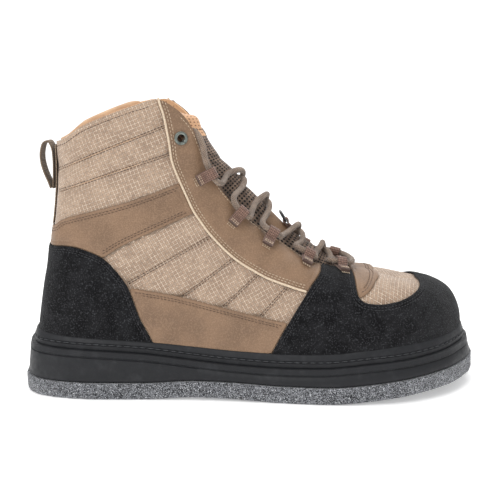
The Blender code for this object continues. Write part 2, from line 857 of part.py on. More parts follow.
def build_eyelet(label, side, upper, facing, parts, cutters, materials):
    """A metal eyelet: a rim on the facing and a barrel through facing and upper, turned about its axis."""
    station, rise = EYELET_PLACE
    face = 2 * GAP + LEATHER_THICKNESS
    point = upper_point(station, rise, side, face)
    normal = upper_normal(station, rise, side)
    bore = EYELET_BORE / 2
    barrel = bore + EYELET_WALL
    depth = face + UPPER_WALL + GAP
    profile = (
        (bore, EYELET_RIM),
        (EYELET_DIAMETER / 2 - GAP, EYELET_RIM),
        (EYELET_DIAMETER / 2, GAP + EYELET_RIM * 0.3),
        (EYELET_DIAMETER / 2, GAP),
        (barrel, GAP),
        (barrel, -depth),
        (bore, -depth),
    )
    rings = 10
    points = []
    for turn in range(rings):
        angle = 2 * math.pi * turn / rings
        points += [(r * math.cos(angle), r * math.sin(angle), z) for r, z in profile]
    count = len(profile)
    faces = []
    for turn in range(rings):
        after = (turn + 1) % rings
        for row in range(count):
            low = (row + 1) % count
            faces.append((turn * count + row, turn * count + low, after * count + low, after * count + row))
    item = new_object("eyelet_" + label, points, faces, parts, materials["metal"])
    place_along(item, point, normal)
    smooth(item)
    bpy.ops.mesh.primitive_cylinder_add(radius=barrel + GAP, depth=4 * depth, vertices=rings)
    hole = bpy.context.object
    hole.name = "eyelet_hole_" + label
    move_to(hole, cutters)
    place_along(hole, point, normal)
    add_boolean(upper, hole, "DIFFERENCE")
    add_boolean(facing, hole, "DIFFERENCE")


def build_lining(parts, materials):
    """The padded lining of the collar, a shell on the inside of the upper that stands just above it."""
    last = LINING_STATION
    rows = range(RIB_ROWS // 2, RIB_ROWS + 1)
    lift = -(UPPER_WALL + GAP)
    points = []
    for place in range(-last, last + 1):
        side = -1 if place <= 0 else 1
        for row in rows:
            point = upper_point(float(station_of(abs(place))), row / RIB_ROWS, side, lift)
            if row == RIB_ROWS:
                point = point + np.array([0, 0, LINING_RISE])
            points.append(point)
    item = new_object("collar_lining", points, grid_faces(2 * last + 1, len(rows)), parts, materials["lining"])
    add_solidify(item, LINING_THICKNESS, False)
    smooth(item)


def grid_faces(across, up):
    """Triangles of a grid whose points run up each column."""
    faces = []
    for column in range(across - 1):
        for row in range(up - 1):
            low = column * up + row
            high = low + up
            faces.append((low, low + 1, high + 1))
            faces.append((low, high + 1, high))
    return faces


def build_backstrap(parts, cutters, materials):
    """The webbing strip up the back of the heel, above the ankle band."""
    item = skin("backstrap", parts, materials["webbing"], GAP)
    add_solidify(item, WEBBING_THICKNESS, True)
    foot = BAND_TOP[1][1] * COLLAR_HEIGHT + 4 * GAP
    top = UPPER_SECTIONS[0][4] * COLLAR_HEIGHT - BACKSTRAP_SHY
    half = BACKSTRAP_WIDTH / 2
    heel = float(from_heel(0.0))
    front = heel + COLLAR_WIDTH
    outline = ((heel, foot), (front, foot), (front, top), (heel, top))
    centre = float(middle(heel))
    add_boolean(item, side_prism("backstrap_outline", outline, centre - half, centre + half, cutters),
                "INTERSECT")


# The tongue

def tongue_point(place, across, lift=0.0):
    """Points of the tongue's face: place 0 at the vamp to 1 at its top, across -1 lateral to 1 medial.

    Each section is a smooth curve from inside the upper on one side, over the middle line, to the other.
    """
    place = float(place) * (len(TONGUE_SECTIONS) - 1)
    rows = np.arange(len(TONGUE_SECTIONS))
    station, along, height, tuck, room = [float(graph(place, rows, column))
                                          for column in columns(TONGUE_SECTIONS)]
    depth = -(UPPER_WALL + TONGUE_GAP + room * TONGUE_LACE_ROOM)
    x = float(from_heel(along))
    crown = np.array([x, float(middle(x)), height * COLLAR_HEIGHT])
    halves = []
    for side in (-1, 1):
        rises = np.linspace(tuck, 1.0, 3)
        edge = upper_point(np.full(3, station), rises, side, np.full(3, depth))
        under = upper_normal(station, 1.0, side) * TONGUE_GAP
        lip = edge[-1] + (crown - edge[-1]) * TONGUE_LIP - under
        halves.append(np.vstack([edge, lip]))
    section = np.vstack([halves[0], crown, halves[1][::-1]])
    walked = np.concatenate([[0], np.cumsum(np.linalg.norm(np.diff(section, axis=0), axis=1))])
    at = (np.asarray(across, float) + 1) / 2 * walked[-1]
    points = np.stack([graph(at, walked, section[:, axis]) for axis in range(3)], axis=-1)
    if lift:
        points = points + tongue_normal(place / (len(TONGUE_SECTIONS) - 1), across) * lift
    return points


def tongue_normal(place, across):
    """Outward direction of the tongue's face."""
    step = 0.01
    place = min(max(place, step), 1 - step)
    across = np.clip(np.asarray(across, float), step - 1, 1 - step)
    up = tongue_point(place + step, across) - tongue_point(place - step, across)
    over = tongue_point(place, across + step) - tongue_point(place, across - step)
    normal = np.cross(over, up)
    return normal / np.linalg.norm(normal, axis=-1, keepdims=True)


def build_tongue(parts, materials):
    """The tongue, a shell whose edges lie inside the upper."""
    across = np.linspace(-1, 1, TONGUE_ACROSS + 1)
    points = np.concatenate([tongue_point(place, across) for place in np.linspace(0, 1, TONGUE_ALONG + 1)])
    faces = grid_faces(TONGUE_ALONG + 1, TONGUE_ACROSS + 1)
    item = new_object("tongue", points, faces, parts, materials["mesh"])
    add_solidify(item, TONGUE_THICKNESS, False)
    smooth(item)


def move_to(item, group):
    """Move an object into a collection."""
    for old in item.users_collection:
        old.objects.unlink(item)
    group.objects.link(item)


def frame_from(normal, along):
    """Three unit directions: along, across and normal."""
    normal = np.asarray(normal, float) / np.linalg.norm(normal)
    along = np.asarray(along, float) - normal * np.dot(along, normal)
    along = along / np.linalg.norm(along)
    return along, np.cross(normal, along), normal


def place_along(item, point, normal, along=(1, 0, 0)):
    """Put an object's origin at a point, with its Z along the normal and its X along a direction."""
    first, second, third = frame_from(normal, along)
    turned = Matrix((
        (first[0], second[0], third[0], point[0]),
        (first[1], second[1], third[1], point[1]),
        (first[2], second[2], third[2], point[2]),
        (0, 0, 0, 1),
    ))
    item.matrix_world = turned


# Webbing, lace and ring

def ribbon(name, path, thickness, width, group, material):
    """Webbing bent along a path in its own XZ plane, as wide as width along Y."""
    path = np.asarray(path, float)
    ahead = np.diff(path, axis=0)
    ahead /= np.linalg.norm(ahead, axis=1, keepdims=True)
    before = np.vstack([ahead[:1], ahead])
    after = np.vstack([ahead, ahead[-1:]])
    heading = before + after
    heading /= np.linalg.norm(heading, axis=1, keepdims=True)
    stretch = 1 / np.maximum(np.sum(heading * after, axis=1, keepdims=True), 0.5)
    normal = np.stack([-heading[:, 1], heading[:, 0]], axis=1) * stretch * thickness / 2
    points = []
    for middle_point, away in zip(path, normal):
        for y, sign in ((-width / 2, -1), (width / 2, -1), (width / 2, 1), (-width / 2, 1)):
            place = middle_point + away * sign
            points.append((place[0], y, place[1]))
    faces = [(3, 2, 1, 0), tuple(4 * (len(path) - 1) + corner for corner in range(4))]
    for step in range(len(path) - 1):
        for corner in range(4):
            following = (corner + 1) % 4
            faces.append((4 * step + corner, 4 * step + following,
                          4 * step + 4 + following, 4 * step + 4 + corner))
    return new_object(name, points, faces, group, material)


def folded_path(length, eye, thickness):
    """A webbing's path: along its lower layer, round the eye at its end, and back along the upper layer."""
    low = thickness / 2
    high = low + thickness + GAP
    centre = low + eye
    turns = np.radians(np.linspace(-90, -330, LOOP_ARC_STEPS + 1))
    arc = [(eye * math.cos(turn), centre + eye * math.sin(turn)) for turn in turns]
    landing = arc[-1][0] + (arc[-1][1] - high) * math.tan(math.radians(30))
    return [(length, low)] + arc + [(landing, high), (length, high)]


def tube(name, path, radius, group, material, closed=False):
    """A round cord or wire along a path, with filled ends unless it is closed."""
    data = bpy.data.curves.new(name, "CURVE")
    data.dimensions = "3D"
    data.bevel_depth = radius
    data.bevel_resolution = 2
    data.use_fill_caps = not closed
    spline = data.splines.new("POLY")
    spline.points.add(len(path) - 1)
    for point, place in zip(spline.points, path):
        point.co = (*[float(value) for value in place], 1.0)
    spline.use_cyclic_u = closed
    item = bpy.data.objects.new(name, data)
    group.objects.link(item)
    data.materials.append(material)
    return item


def loop_eye():
    """Radius of the webbing's middle round the lace."""
    return LACE_DIAMETER / 2 + LACE_GAP + WEBBING_THICKNESS / 2


def carried_on(number):
    """Thickness of the overlay that carries a lace loop."""
    return WRAP_THICKNESS if number == len(LOOP_STATIONS) - 1 else LEATHER_THICKNESS


def loop_seat(number, side):
    """Seat of a lace loop, square to the throat: its place, the way down, along the throat, and outward.

    The way down is laid on the upper half a loop's length from the edge, and the seat is taken from there.
    """
    station = LOOP_STATIONS[number]
    step = 0.004
    edge = upper_point(station, LOOP_RISE, side)
    behind = upper_point(station - step, LOOP_RISE, side)
    along = (upper_point(station + step, LOOP_RISE, side) - behind) / (2 * step)
    up = (edge - upper_point(station, LOOP_RISE - step, side)) / step
    down = np.cross(upper_normal(station, LOOP_RISE, side), along)
    down *= -np.sign(np.dot(down, up)) / np.linalg.norm(down)
    half = LOOP_LENGTH / 2
    shares = np.linalg.lstsq(np.stack([along, up], axis=1), down * half, rcond=None)[0]
    laid = upper_point(station + shares[0], LOOP_RISE + shares[1], side)
    out = upper_normal(station + shares[0], LOOP_RISE + shares[1], side)
    down, over, out = frame_from(out, down)
    forward = over * np.sign(np.dot(over, along))
    return laid + out * (carried_on(number) + 4 * GAP) - down * half, down, forward, out


def loop_passage(number, side):
    """The lace's straight stretch through a loop, from its upper end to its lower end."""
    seat, down, forward, out = loop_seat(number, side)
    centre = seat + out * (loop_eye() + WEBBING_THICKNESS / 2)
    reach = LOOP_WIDTH / 2 + LACE_STRAIGHT
    return np.array([centre - forward * reach, centre + forward * reach])


def tongue_place(station):
    """Place along the tongue beside a rib of the upper."""
    stations = columns(TONGUE_SECTIONS)[0]
    places = np.linspace(0, 1, len(stations))
    return float(np.interp(station, stations[::-1], places[::-1]))


def shoulder_point(number, toward, side):
    """Where a strand turns over the edge of the throat, between a loop and the next one it goes to."""
    station = LOOP_STATIONS[number] + SHOULDER * (LOOP_STATIONS[toward] - LOOP_STATIONS[number])
    lift = GAP + carried_on(number) + LACE_DIAMETER / 2 + LACE_GAP + LACE_CLEAR
    return upper_point(station, SHOULDER_RISE, side) + upper_normal(station, 1.0, side) * lift


def strand_points(number, side):
    """Points of a strand over the tongue, from a loop on one side to the next loop on the other."""
    place, over_tab = CROSSINGS[number]
    start = tongue_place(LOOP_STATIONS[number])
    end = tongue_place(LOOP_STATIONS[number + 1])
    rest = LACE_DIAMETER / 2 + LACE_GAP + LACE_CLEAR + over_tab * (TAB_THICKNESS + 2 * GAP)
    points = [shoulder_point(number, number + 1, side)]
    for across, pull, over in STRAND:
        at = place + abs(pull) * ((start if pull < 0 else end) - place)
        hump = over * (LACE_DIAMETER + LACE_GAP) if side < 0 else 0.0
        points.append(tongue_point(at, -side * across, rest + hump))
    points.append(shoulder_point(number + 1, number, -side))
    return np.array(points)


def lace_route():
    """The whole lace: down from the first lateral loop, across the bar, and up to the first medial loop."""
    last = len(LOOP_STATIONS) - 1
    route = []
    side = -1
    for number in range(last):
        route.append(loop_passage(number, side))
        route.append(strand_points(number, side))
        side = -side
    start = loop_passage(last, side)
    end = loop_passage(last, -side)[::-1]
    share = np.linspace(0, 1, 5)[1:-1, None]
    bulge = 4 * share * (1 - share) * np.array([BAR_REACH, 0, -BAR_SAG])
    route += [start, start[-1] + (end[0] - start[-1]) * share + bulge, end]
    side = -side
    for number in range(last - 1, -1, -1):
        side = -side
        route.append(strand_points(number, side)[::-1])
        route.append(loop_passage(number, side)[::-1])
    return np.concatenate(route)


def build_loops(parts, materials):
    """Five webbing loops down each side of the throat."""
    path = folded_path(LOOP_LENGTH, loop_eye(), WEBBING_THICKNESS)
    for label, side in (("lateral", -1), ("medial", 1)):
        for number in range(len(LOOP_STATIONS)):
            seat, down, forward, out = loop_seat(number, side)
            item = ribbon("lace_loop_%s_%d" % (label, number + 1), path, WEBBING_THICKNESS, LOOP_WIDTH,
                          parts, materials["webbing"])
            place_along(item, seat, out, down)


def build_lace(parts, materials):
    """The lace through the loops, and its two ends that go back into the boot."""
    tube("lace", lace_route(), LACE_DIAMETER / 2, parts, materials["lace"])
    for label, side in (("lateral", -1), ("medial", 1)):
        passage = loop_passage(0, side)
        leaving = (passage[0] - passage[1]) / np.linalg.norm(passage[0] - passage[1])
        points = [passage[0] + leaving * GAP, passage[0] + leaving * LACE_STRAIGHT]
        points += [upper_point(station, rise, side, lift * MM) for station, rise, lift in LACE_END]
        tube("lace_end_" + label, points, LACE_DIAMETER / 2, parts, materials["lace"])


def build_tab(parts, materials):
    """The leather tab on the tongue, its webbing keeper and the wire ring in it."""
    start, end = TAB_PLACES
    across = np.linspace(-TAB_ACROSS, TAB_ACROSS, 7)
    points = np.concatenate([tongue_point(place, across, 2 * GAP) for place in np.linspace(start, end, 4)])
    tab = new_object("tongue_tab", points, grid_faces(4, 7), parts, materials["leather"])
    add_solidify(tab, TAB_THICKNESS, True)
    seat = tongue_point(KEEPER_PLACE, 0.0, 3 * GAP + TAB_THICKNESS)
    out = tongue_normal(KEEPER_PLACE, 0.0)
    down = tongue_point(KEEPER_PLACE - 0.02, 0.0) - tongue_point(KEEPER_PLACE, 0.0)
    down[1] = 0
    out[1] = 0
    eye = RING_WIRE / 2 + GAP + WEBBING_THICKNESS / 2
    keeper = ribbon("ring_keeper", folded_path(KEEPER_LENGTH, eye, WEBBING_THICKNESS),
                    WEBBING_THICKNESS, KEEPER_WIDTH, parts, materials["webbing"])
    place_along(keeper, seat, out, down)
    down, over, out = frame_from(out, down)
    hinge = seat + out * (eye + WEBBING_THICKNESS / 2)
    ring = tube("tongue_ring", ring_path(), RING_WIRE / 2, parts, materials["wire"], closed=True)
    lean = -down * math.cos(RING_TILT) + out * math.sin(RING_TILT)
    place_along(ring, hinge, np.cross(lean, (0, 1, 0)), lean)


def ring_path():
    """A ring with one straight bar on its hinge axis and a round outer side, in its own XY plane."""
    half = RING_WIDTH / 2
    corner = 2 * RING_WIRE
    corners = (
        (corner, half - corner, 180),
        (RING_LENGTH - corner, half - corner, 90),
        (RING_LENGTH - corner, corner - half, 0),
        (corner, corner - half, -90),
    )
    path = []
    for x, y, start in corners:
        for turn in np.radians(np.linspace(start, start - 90, 3)):
            path.append((x + corner * math.cos(turn), y + corner * math.sin(turn), 0.0))
    return path


def build_pull_loop(parts, materials):
    """The webbing pull loop that stands behind the collar."""
    foot = float(step_height(from_heel(0.0))) + GAP
    top = UPPER_SECTIONS[0][4] * COLLAR_HEIGHT
    face = 3 * GAP + WEBBING_THICKNESS * 1.5
    path = []
    for back, up in PULL_LOOP:
        z = PULL_FOOT + up * PULL_HEIGHT
        rise = min((z - foot) / (top - foot), 1.0)
        path.append((float(upper_point(0.0, rise, -1)[0]) - face - back * PULL_DEPTH, z))
    item = ribbon("pull_loop", path, WEBBING_THICKNESS, PULL_WIDTH, parts, materials["webbing"])
    item.location.y = float(middle(from_heel(0.0)))


# Put the model together

def main():
    """Build the boot in an empty scene."""
    for item in list(bpy.data.objects):
        bpy.data.objects.remove(item, do_unlink=True)
    scene = bpy.context.scene
    parts = bpy.data.collections.new("wading_boot")
    cutters = bpy.data.collections.new("cutters")
    scene.collection.children.link(parts)
    scene.collection.children.link(cutters)
    materials = {
        "felt": new_material("felt", (0.19, 0.20, 0.21), 0.95),
        "rubber": new_material("rubber", (0.035, 0.036, 0.040), 0.55),
        "ripstop": new_material("ripstop", (0.58, 0.43, 0.33), 0.8),
        "black": new_material("black_microfibre", (0.02, 0.021, 0.023), 0.9),
        "leather": new_material("leather", (0.30, 0.19, 0.12), 0.55),
        "lining": new_material("lining", (0.25, 0.17, 0.11), 0.9),
        "mesh": new_material("tongue_mesh", (0.15, 0.11, 0.09), 0.85),
        "webbing": new_material("webbing", (0.30, 0.19, 0.15), 0.8),
        "lace": new_material("lace_cord", (0.24, 0.19, 0.15), 0.85),
        "metal": new_material("eyelet_metal", (0.35, 0.37, 0.36), 0.3, 1.0),
        "wire": new_material("ring_wire", (0.01, 0.01, 0.01), 0.25),
    }
    build_sole(parts, materials)
    build_upper(parts, cutters, materials)
    build_lining(parts, materials)
    build_backstrap(parts, cutters, materials)
    build_tongue(parts, materials)
    build_tab(parts, materials)
    build_loops(parts, materials)
    build_lace(parts, materials)
    build_pull_loop(parts, materials)


main()
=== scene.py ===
"""Looks of the wading boot for the right foot: cloth, leather, rubber, felt, stitches, lace and light.

The boot stands on the floor at Z = 0. The toe points along +X and the lateral side is -Y.
"""
import math

import bmesh
import bpy
import numpy as np
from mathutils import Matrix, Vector
from mathutils.bvhtree import BVHTree


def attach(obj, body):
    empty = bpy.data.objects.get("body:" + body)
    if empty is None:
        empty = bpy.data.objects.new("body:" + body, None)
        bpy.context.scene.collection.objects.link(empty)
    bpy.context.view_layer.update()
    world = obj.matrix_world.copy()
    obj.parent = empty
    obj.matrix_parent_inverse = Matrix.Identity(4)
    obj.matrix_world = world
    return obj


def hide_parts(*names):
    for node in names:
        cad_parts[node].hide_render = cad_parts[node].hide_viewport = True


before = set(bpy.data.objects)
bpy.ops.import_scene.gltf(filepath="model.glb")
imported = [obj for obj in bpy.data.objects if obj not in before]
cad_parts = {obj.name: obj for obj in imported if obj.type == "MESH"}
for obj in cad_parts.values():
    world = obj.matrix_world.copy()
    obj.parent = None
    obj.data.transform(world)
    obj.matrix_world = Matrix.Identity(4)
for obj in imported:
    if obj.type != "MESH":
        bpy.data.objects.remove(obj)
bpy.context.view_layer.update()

MM = 0.001

# Sizes of the sole, the same as in the CAD model
SOLE_LENGTH = 318 * MM
BALL_WIDTH = 118 * MM
FELT_THICKNESS = 11 * MM
FELT_EDGE = 0.8 * MM
SIDEWALL_INSET = 1.2 * MM
SIDEWALL_DRAFT = 2.2 * MM
HEEL_STACK = 34 * MM
TOE_SPRING = 9 * MM
GROOVE_DROP = 4.5 * MM
GROOVE_DEPTH = 0.8 * MM
RAND_HEIGHT = 9 * MM
RAND_INSET = 6.2 * MM
RAND_DRAFT = 1.8 * MM
UPPER_INSET = 10 * MM

# Sizes of the upper
COLLAR_HEIGHT = 198 * MM
COLLAR_WIDTH = 76 * MM
UPPER_WALL = 2.6 * MM
ANKLE_PINCH = 3.5 * MM
LEATHER_THICKNESS = 1.2 * MM
WRAP_THICKNESS = 1.7 * MM
LINING_THICKNESS = 3 * MM
LINING_RISE = 1.5 * MM
BACKSTRAP_WIDTH = 18 * MM
WEBBING_THICKNESS = 1.2 * MM

# Sizes of the tongue and the lacing
TONGUE_THICKNESS = 4.5 * MM
TAB_THICKNESS = 1.4 * MM
LACE_DIAMETER = 4 * MM
LOOP_WIDTH = 7.5 * MM
LOOP_LENGTH = 10 * MM
EYELET_DIAMETER = 9 * MM
EYELET_BORE = 4.8 * MM
EYELET_RIM = 0.9 * MM
RING_WIRE = 1.6 * MM
RING_WIDTH = 13 * MM
RING_LENGTH = 7.5 * MM
RING_TILT = math.radians(14)
KEEPER_WIDTH = 7 * MM
KEEPER_LENGTH = 6.5 * MM
PULL_WIDTH = 14 * MM
PULL_DEPTH = 8.5 * MM
PULL_HEIGHT = 32 * MM
PULL_FOOT = 138 * MM

# Clearances
GAP = 0.3 * MM
SEAM_GAP = 0.4 * MM
TONGUE_GAP = 1.3 * MM
TONGUE_LACE_ROOM = 4.3 * MM
LACE_GAP = 0.5 * MM
LACE_CLEAR = 0.6 * MM
EYELET_WALL = 0.5 * MM
BACKSTRAP_SHY = 2 * MM

# The two sides of the boot: name, and which way they face along Y
SIDES = (("lateral", -1), ("medial", 1))

# Sole outline. along: share of SOLE_LENGTH from the heel. lateral, medial: shares of half BALL_WIDTH.
SOLE_SIDES = (
    (0.000, -0.050, -0.050),
    (0.016, -0.457, 0.356),
    (0.063, -0.680, 0.576),
    (0.150, -0.795, 0.695),
    (0.283, -0.805, 0.686),
    (0.393, -0.830, 0.678),
    (0.519, -0.900, 0.797),
    (0.645, -0.985, 0.950),
    (0.740, -0.990, 1.000),
    (0.833, -0.898, 0.985),
    (0.918, -0.640, 0.890),
    (0.972, -0.300, 0.680),
    (0.991, -0.080, 0.490),
    (1.000, 0.200, 0.200),
)

# Heights along the sole. tread: share of TOE_SPRING. step: share of HEEL_STACK.
# rand: height above the step, share of RAND_HEIGHT.
SOLE_PROFILE = (
    (0.00, 0.00, 1.00, 1.00),
    (0.15, 0.00, 0.96, 0.86),
    (0.27, 0.00, 0.89, 0.84),
    (0.38, 0.20, 0.77, 0.94),
    (0.46, 0.16, 0.70, 0.97),
    (0.56, 0.00, 0.66, 1.00),
    (0.65, 0.00, 0.68, 1.00),
    (0.74, 0.22, 0.76, 1.00),
    (0.81, 0.46, 0.81, 1.06),
    (0.88, 0.70, 0.86, 1.06),
    (0.95, 0.88, 0.92, 1.00),
    (1.00, 1.00, 0.96, 1.00),
)

# Middle line of the last. along: share of SOLE_LENGTH. across: share of half BALL_WIDTH.
MIDLINE = (
    (0.00, -0.050),
    (0.35, -0.050),
    (0.55, -0.020),
    (0.75, 0.050),
    (0.85, 0.090),
    (1.00, 0.200),
)

# Sections of the upper, one rib each, from the heel to the toe.
# station: share of the way round the sole from heel to toe. reach: top of the rib, share of SOLE_LENGTH.
# lateral, medial: top of the rib off the middle line, shares of half COLLAR_WIDTH.
# height: top of the rib, share of COLLAR_HEIGHT. lean and dome: how late the rib runs inward and how
# early it climbs. arch: share of the whole arch that the rib covers. pinch: share of ANKLE_PINCH.
UPPER_SECTIONS = (
    (0.000, 0.082, 0.00, 0.00, 0.859, 1.0, 1.0, 0.8, 1.0),
    (0.060, 0.090, 0.43, 0.43, 0.861, 1.0, 1.0, 0.8, 1.0),
    (0.110, 0.113, 0.74, 0.74, 0.873, 1.0, 1.0, 0.8, 1.0),
    (0.165, 0.157, 0.94, 0.94, 0.916, 1.0, 1.0, 0.8, 1.0),
    (0.225, 0.214, 1.00, 1.00, 0.954, 1.1, 1.0, 0.8, 0.9),
    (0.285, 0.277, 0.96, 0.96, 0.989, 1.2, 1.0, 0.8, 0.6),
    (0.312, 0.305, 0.90, 0.90, 1.001, 1.3, 1.05, 0.8, 0.4),
    (0.344, 0.343, 0.76, 0.76, 0.970, 1.5, 1.1, 0.8, 0.2),
    (0.375, 0.372, 0.66, 0.66, 0.914, 1.7, 1.2, 0.8, 0.0),
    (0.406, 0.394, 0.61, 0.61, 0.815, 1.9, 1.3, 0.8, 0.0),
    (0.438, 0.431, 0.59, 0.59, 0.702, 2.0, 1.4, 0.8, 0.0),
    (0.500, 0.491, 0.57, 0.57, 0.595, 2.2, 1.6, 0.8, 0.0),
    (0.570, 0.560, 0.54, 0.54, 0.512, 2.3, 1.8, 0.8, 0.0),
    (0.635, 0.629, 0.50, 0.50, 0.441, 2.4, 2.0, 0.82, 0.0),
    (0.680, 0.673, 0.44, 0.44, 0.421, 2.4, 2.1, 0.86, 0.0),
    (0.719, 0.704, 0.31, 0.31, 0.407, 2.4, 2.2, 0.92, 0.0),
    (0.750, 0.723, 0.00, 0.00, 0.404, 2.3, 2.3, 1.0, 0.0),
    (0.800, 0.770, 0.00, 0.00, 0.391, 2.3, 2.3, 1.0, 0.0),
    (0.870, 0.805, 0.00, 0.00, 0.374, 2.3, 2.3, 1.0, 0.0),
    (1.000, 0.828, 0.00, 0.00, 0.364, 2.3, 2.3, 1.0, 0.0),
)

# Edges of the overlays seen from the side. along: share of SOLE_LENGTH. height: share of COLLAR_HEIGHT.
COUNTER_EDGE = (
    (-0.050, 0.508),
    (0.066, 0.508),
    (0.110, 0.514),
    (0.145, 0.507),
    (0.189, 0.478),
    (0.214, 0.439),
    (0.236, 0.392),
    (0.245, 0.360),
    (0.258, 0.297),
    (0.267, 0.260),
    (0.289, 0.192),
    (0.305, 0.120),
)
BAND_TOP = (
    (-0.050, 0.540),
    (0.072, 0.572),
    (0.113, 0.608),
    (0.242, 0.665),
    (0.349, 0.726),
    (0.450, 0.790),
)
BAND_FOOT = (
    (0.150, 0.440),
    (0.189, 0.477),
    (0.239, 0.526),
    (0.374, 0.624),
    (0.450, 0.675),
)
PIPING = (
    (0.302, 1.080),
    (0.308, 1.001),
    (0.318, 0.947),
    (0.327, 0.872),
    (0.333, 0.797),
    (0.349, 0.731),
    (0.368, 0.660),
    (0.384, 0.614),
    (0.415, 0.546),
    (0.462, 0.473),
    (0.516, 0.420),
    (0.541, 0.402),
    (0.594, 0.373),
    (0.640, 0.352),
)
SIDE_BAND_TOP = (
    (0.200, 0.392),
    (0.245, 0.376),
    (0.336, 0.350),
    (0.431, 0.313),
    (0.516, 0.281),
    (0.572, 0.263),
    (0.640, 0.245),
)
WRAP_REAR = (
    (0.652, 0.500),
    (0.646, 0.428),
    (0.619, 0.376),
    (0.575, 0.261),
    (0.541, 0.155),
    (0.525, 0.080),
)
WINDOW_EDGE = (
    (0.716, 0.500),
    (0.717, 0.400),
    (0.720, 0.354),
    (0.730, 0.335),
    (0.742, 0.327),
    (0.770, 0.323),
    (0.808, 0.329),
    (0.843, 0.345),
    (0.868, 0.366),
    (0.880, 0.400),
    (0.882, 0.440),
)
PATCH_FRONT = (
    (0.800, 0.440),
    (0.778, 0.398),
    (0.764, 0.386),
    (0.745, 0.359),
    (0.728, 0.345),
    (0.715, 0.340),
)

# Middle line of the tongue's face, from the vamp to its top. station: rib of the upper beside it.
# along: share of SOLE_LENGTH. height: share of COLLAR_HEIGHT. tuck: how far down the rib its edge reaches.
# room: share of TONGUE_LACE_ROOM that it keeps off the upper for the lace ends.
TONGUE_SECTIONS = (
    (0.735, 0.742, 0.367, 0.80, 0.0),
    (0.710, 0.716, 0.396, 0.78, 0.0),
    (0.680, 0.691, 0.432, 0.76, 0.0),
    (0.635, 0.650, 0.470, 0.75, 0.0),
    (0.570, 0.583, 0.538, 0.75, 0.0),
    (0.500, 0.519, 0.640, 0.76, 0.0),
    (0.450, 0.474, 0.722, 0.78, 0.3),
    (0.420, 0.437, 0.785, 0.80, 0.9),
    (0.395, 0.405, 0.850, 0.80, 1.0),
    (0.368, 0.385, 0.920, 0.80, 1.0),
    (0.350, 0.352, 0.958, 0.80, 1.0),
)
# How far the tongue's lip has left the throat's edge for the crown
TONGUE_LIP = 0.12

# Lace loops. station: rib of the upper whose top edge carries the loop.
LOOP_STATIONS = (0.417, 0.479, 0.543, 0.615, 0.690)
# LOOP_RISE: height of the loop's seat up the rib.
LOOP_RISE = 0.972
LOOP_ARC_STEPS = 6

# Crossings of the lace from the top. place: where the strands cross, along the tongue.
# over_tab: whether they also stand over the leather tab.
CROSSINGS = (
    (0.605, 0.0),
    (0.500, 1.0),
    (0.385, 1.0),
    (0.300, 0.0),
)
# A strand between two loops. across: share of the tongue's half width, from its own side to the other.
# pull: how far it has left the crossing for its loops. over: share of the hump of the strand on top.
STRAND = (
    (-0.30, -0.42, 0.00),
    (-0.13, -0.25, 0.45),
    (0.00, 0.00, 1.00),
    (0.13, 0.25, 0.45),
    (0.30, 0.42, 0.00),
)
# Where a strand turns over the throat's edge: share of the way to the next loop, and height up the rib.
SHOULDER = 0.31
SHOULDER_RISE = 1.02
# How far the lace runs straight past a loop, and how far the bar at the vamp reaches forward and sags
LACE_STRAIGHT = 2.6 * MM
BAR_REACH = 4.5 * MM
BAR_SAG = 1.2 * MM

# The leather tab on the tongue and the ring on it, as places along the tongue and shares of its width.
TAB_PLACES = (0.405, 0.474)
TAB_ACROSS = 0.26
KEEPER_PLACE = 0.428

# The pull loop seen from the side, from its inner foot over its top to its outer foot.
# back: share of PULL_DEPTH behind the backstrap. up: share of PULL_HEIGHT.
PULL_LOOP = (
    (0.00, 0.00),
    (0.00, 0.30),
    (0.00, 0.62),
    (0.08, 0.86),
    (0.36, 1.00),
    (0.72, 0.97),
    (0.97, 0.80),
    (1.00, 0.60),
    (0.78, 0.36),
    (0.42, 0.14),
    (0.20, 0.00),
)

# Eyelets. station: rib of the upper. rise: height up the rib, as a share of its rows.
EYELET_PLACE = (0.355, 0.890)

# A lace end after it leaves the first loop. station and rise on the upper, where a rise above 1 is past
# its edge. lift: millimetres off its face, so below 0 inside the boot.
LACE_END = (
    (0.399, 0.995, 5.0),
    (0.394, 1.040, 3.0),
    (0.389, 1.050, -1.4),
    (0.384, 1.020, -5.0),
    (0.377, 0.950, -5.5),
    (0.367, 0.890, -5.5),
    (0.355, 0.840, -5.5),
    (0.342, 0.800, -5.5),
)

# Camera and light
CAMERA_PLACE = (-0.0014, -0.598, 0.1995)
CAMERA_PITCH = 10.06
CAMERA_LENS = 62.06
WORLD_LIGHT = 0.6
FLOOR_GLOW = 0.3
FLOOR_DROP = 0.2 * MM
# Lights that face one target: name, place, width of the square and power
LIGHT_TARGET = (0, 0, 0.08)
LAMPS = (
    ("key", (-0.9, -1.3, 1.5), 1.2, 18),
    ("fill", (1.4, -1.2, 0.8), 1.4, 1.5),
    ("top", (0.1, 0.4, 1.7), 1.5, 16),
)

# Fineness of the dressed pieces
OUTLINE_STEPS = 24
CURVE_STEPS = 16
SLOPE_STEP = 0.004
SKIN_STATIONS = 176
SKIN_RISES = 66
CUT_SNAP = 0.12 * MM
SOLE_STATIONS = 240
TUFT_COUNT = 5200
SPIN_STEPS = 48
SEAM_STEPS = 120

# Loose fibres of the felt, in millimetres: shortest and longest, and half their width
TUFT_LENGTH = (0.5, 1.3)
TUFT_WIDTH = 0.12
# How far they lean out of square to the felt's side
TUFT_LEAN = 0.9
# Woolly bumps of the felt's side, in millimetres: size of the fine and the coarse lumps
FELT_LUMPS = (1.7, 4.1)
FELT_BUMP = 0.35 * MM

# The lace: points along it, how often its corners are eased, and how far its crossings stand off the
# tongue's middle, as a share of half its width
LACE_POINTS = 840
LACE_EASING = 26
LACE_END_POINTS = 60
LACE_END_EASING = 14
CROSSING_SHIFT = 0.13

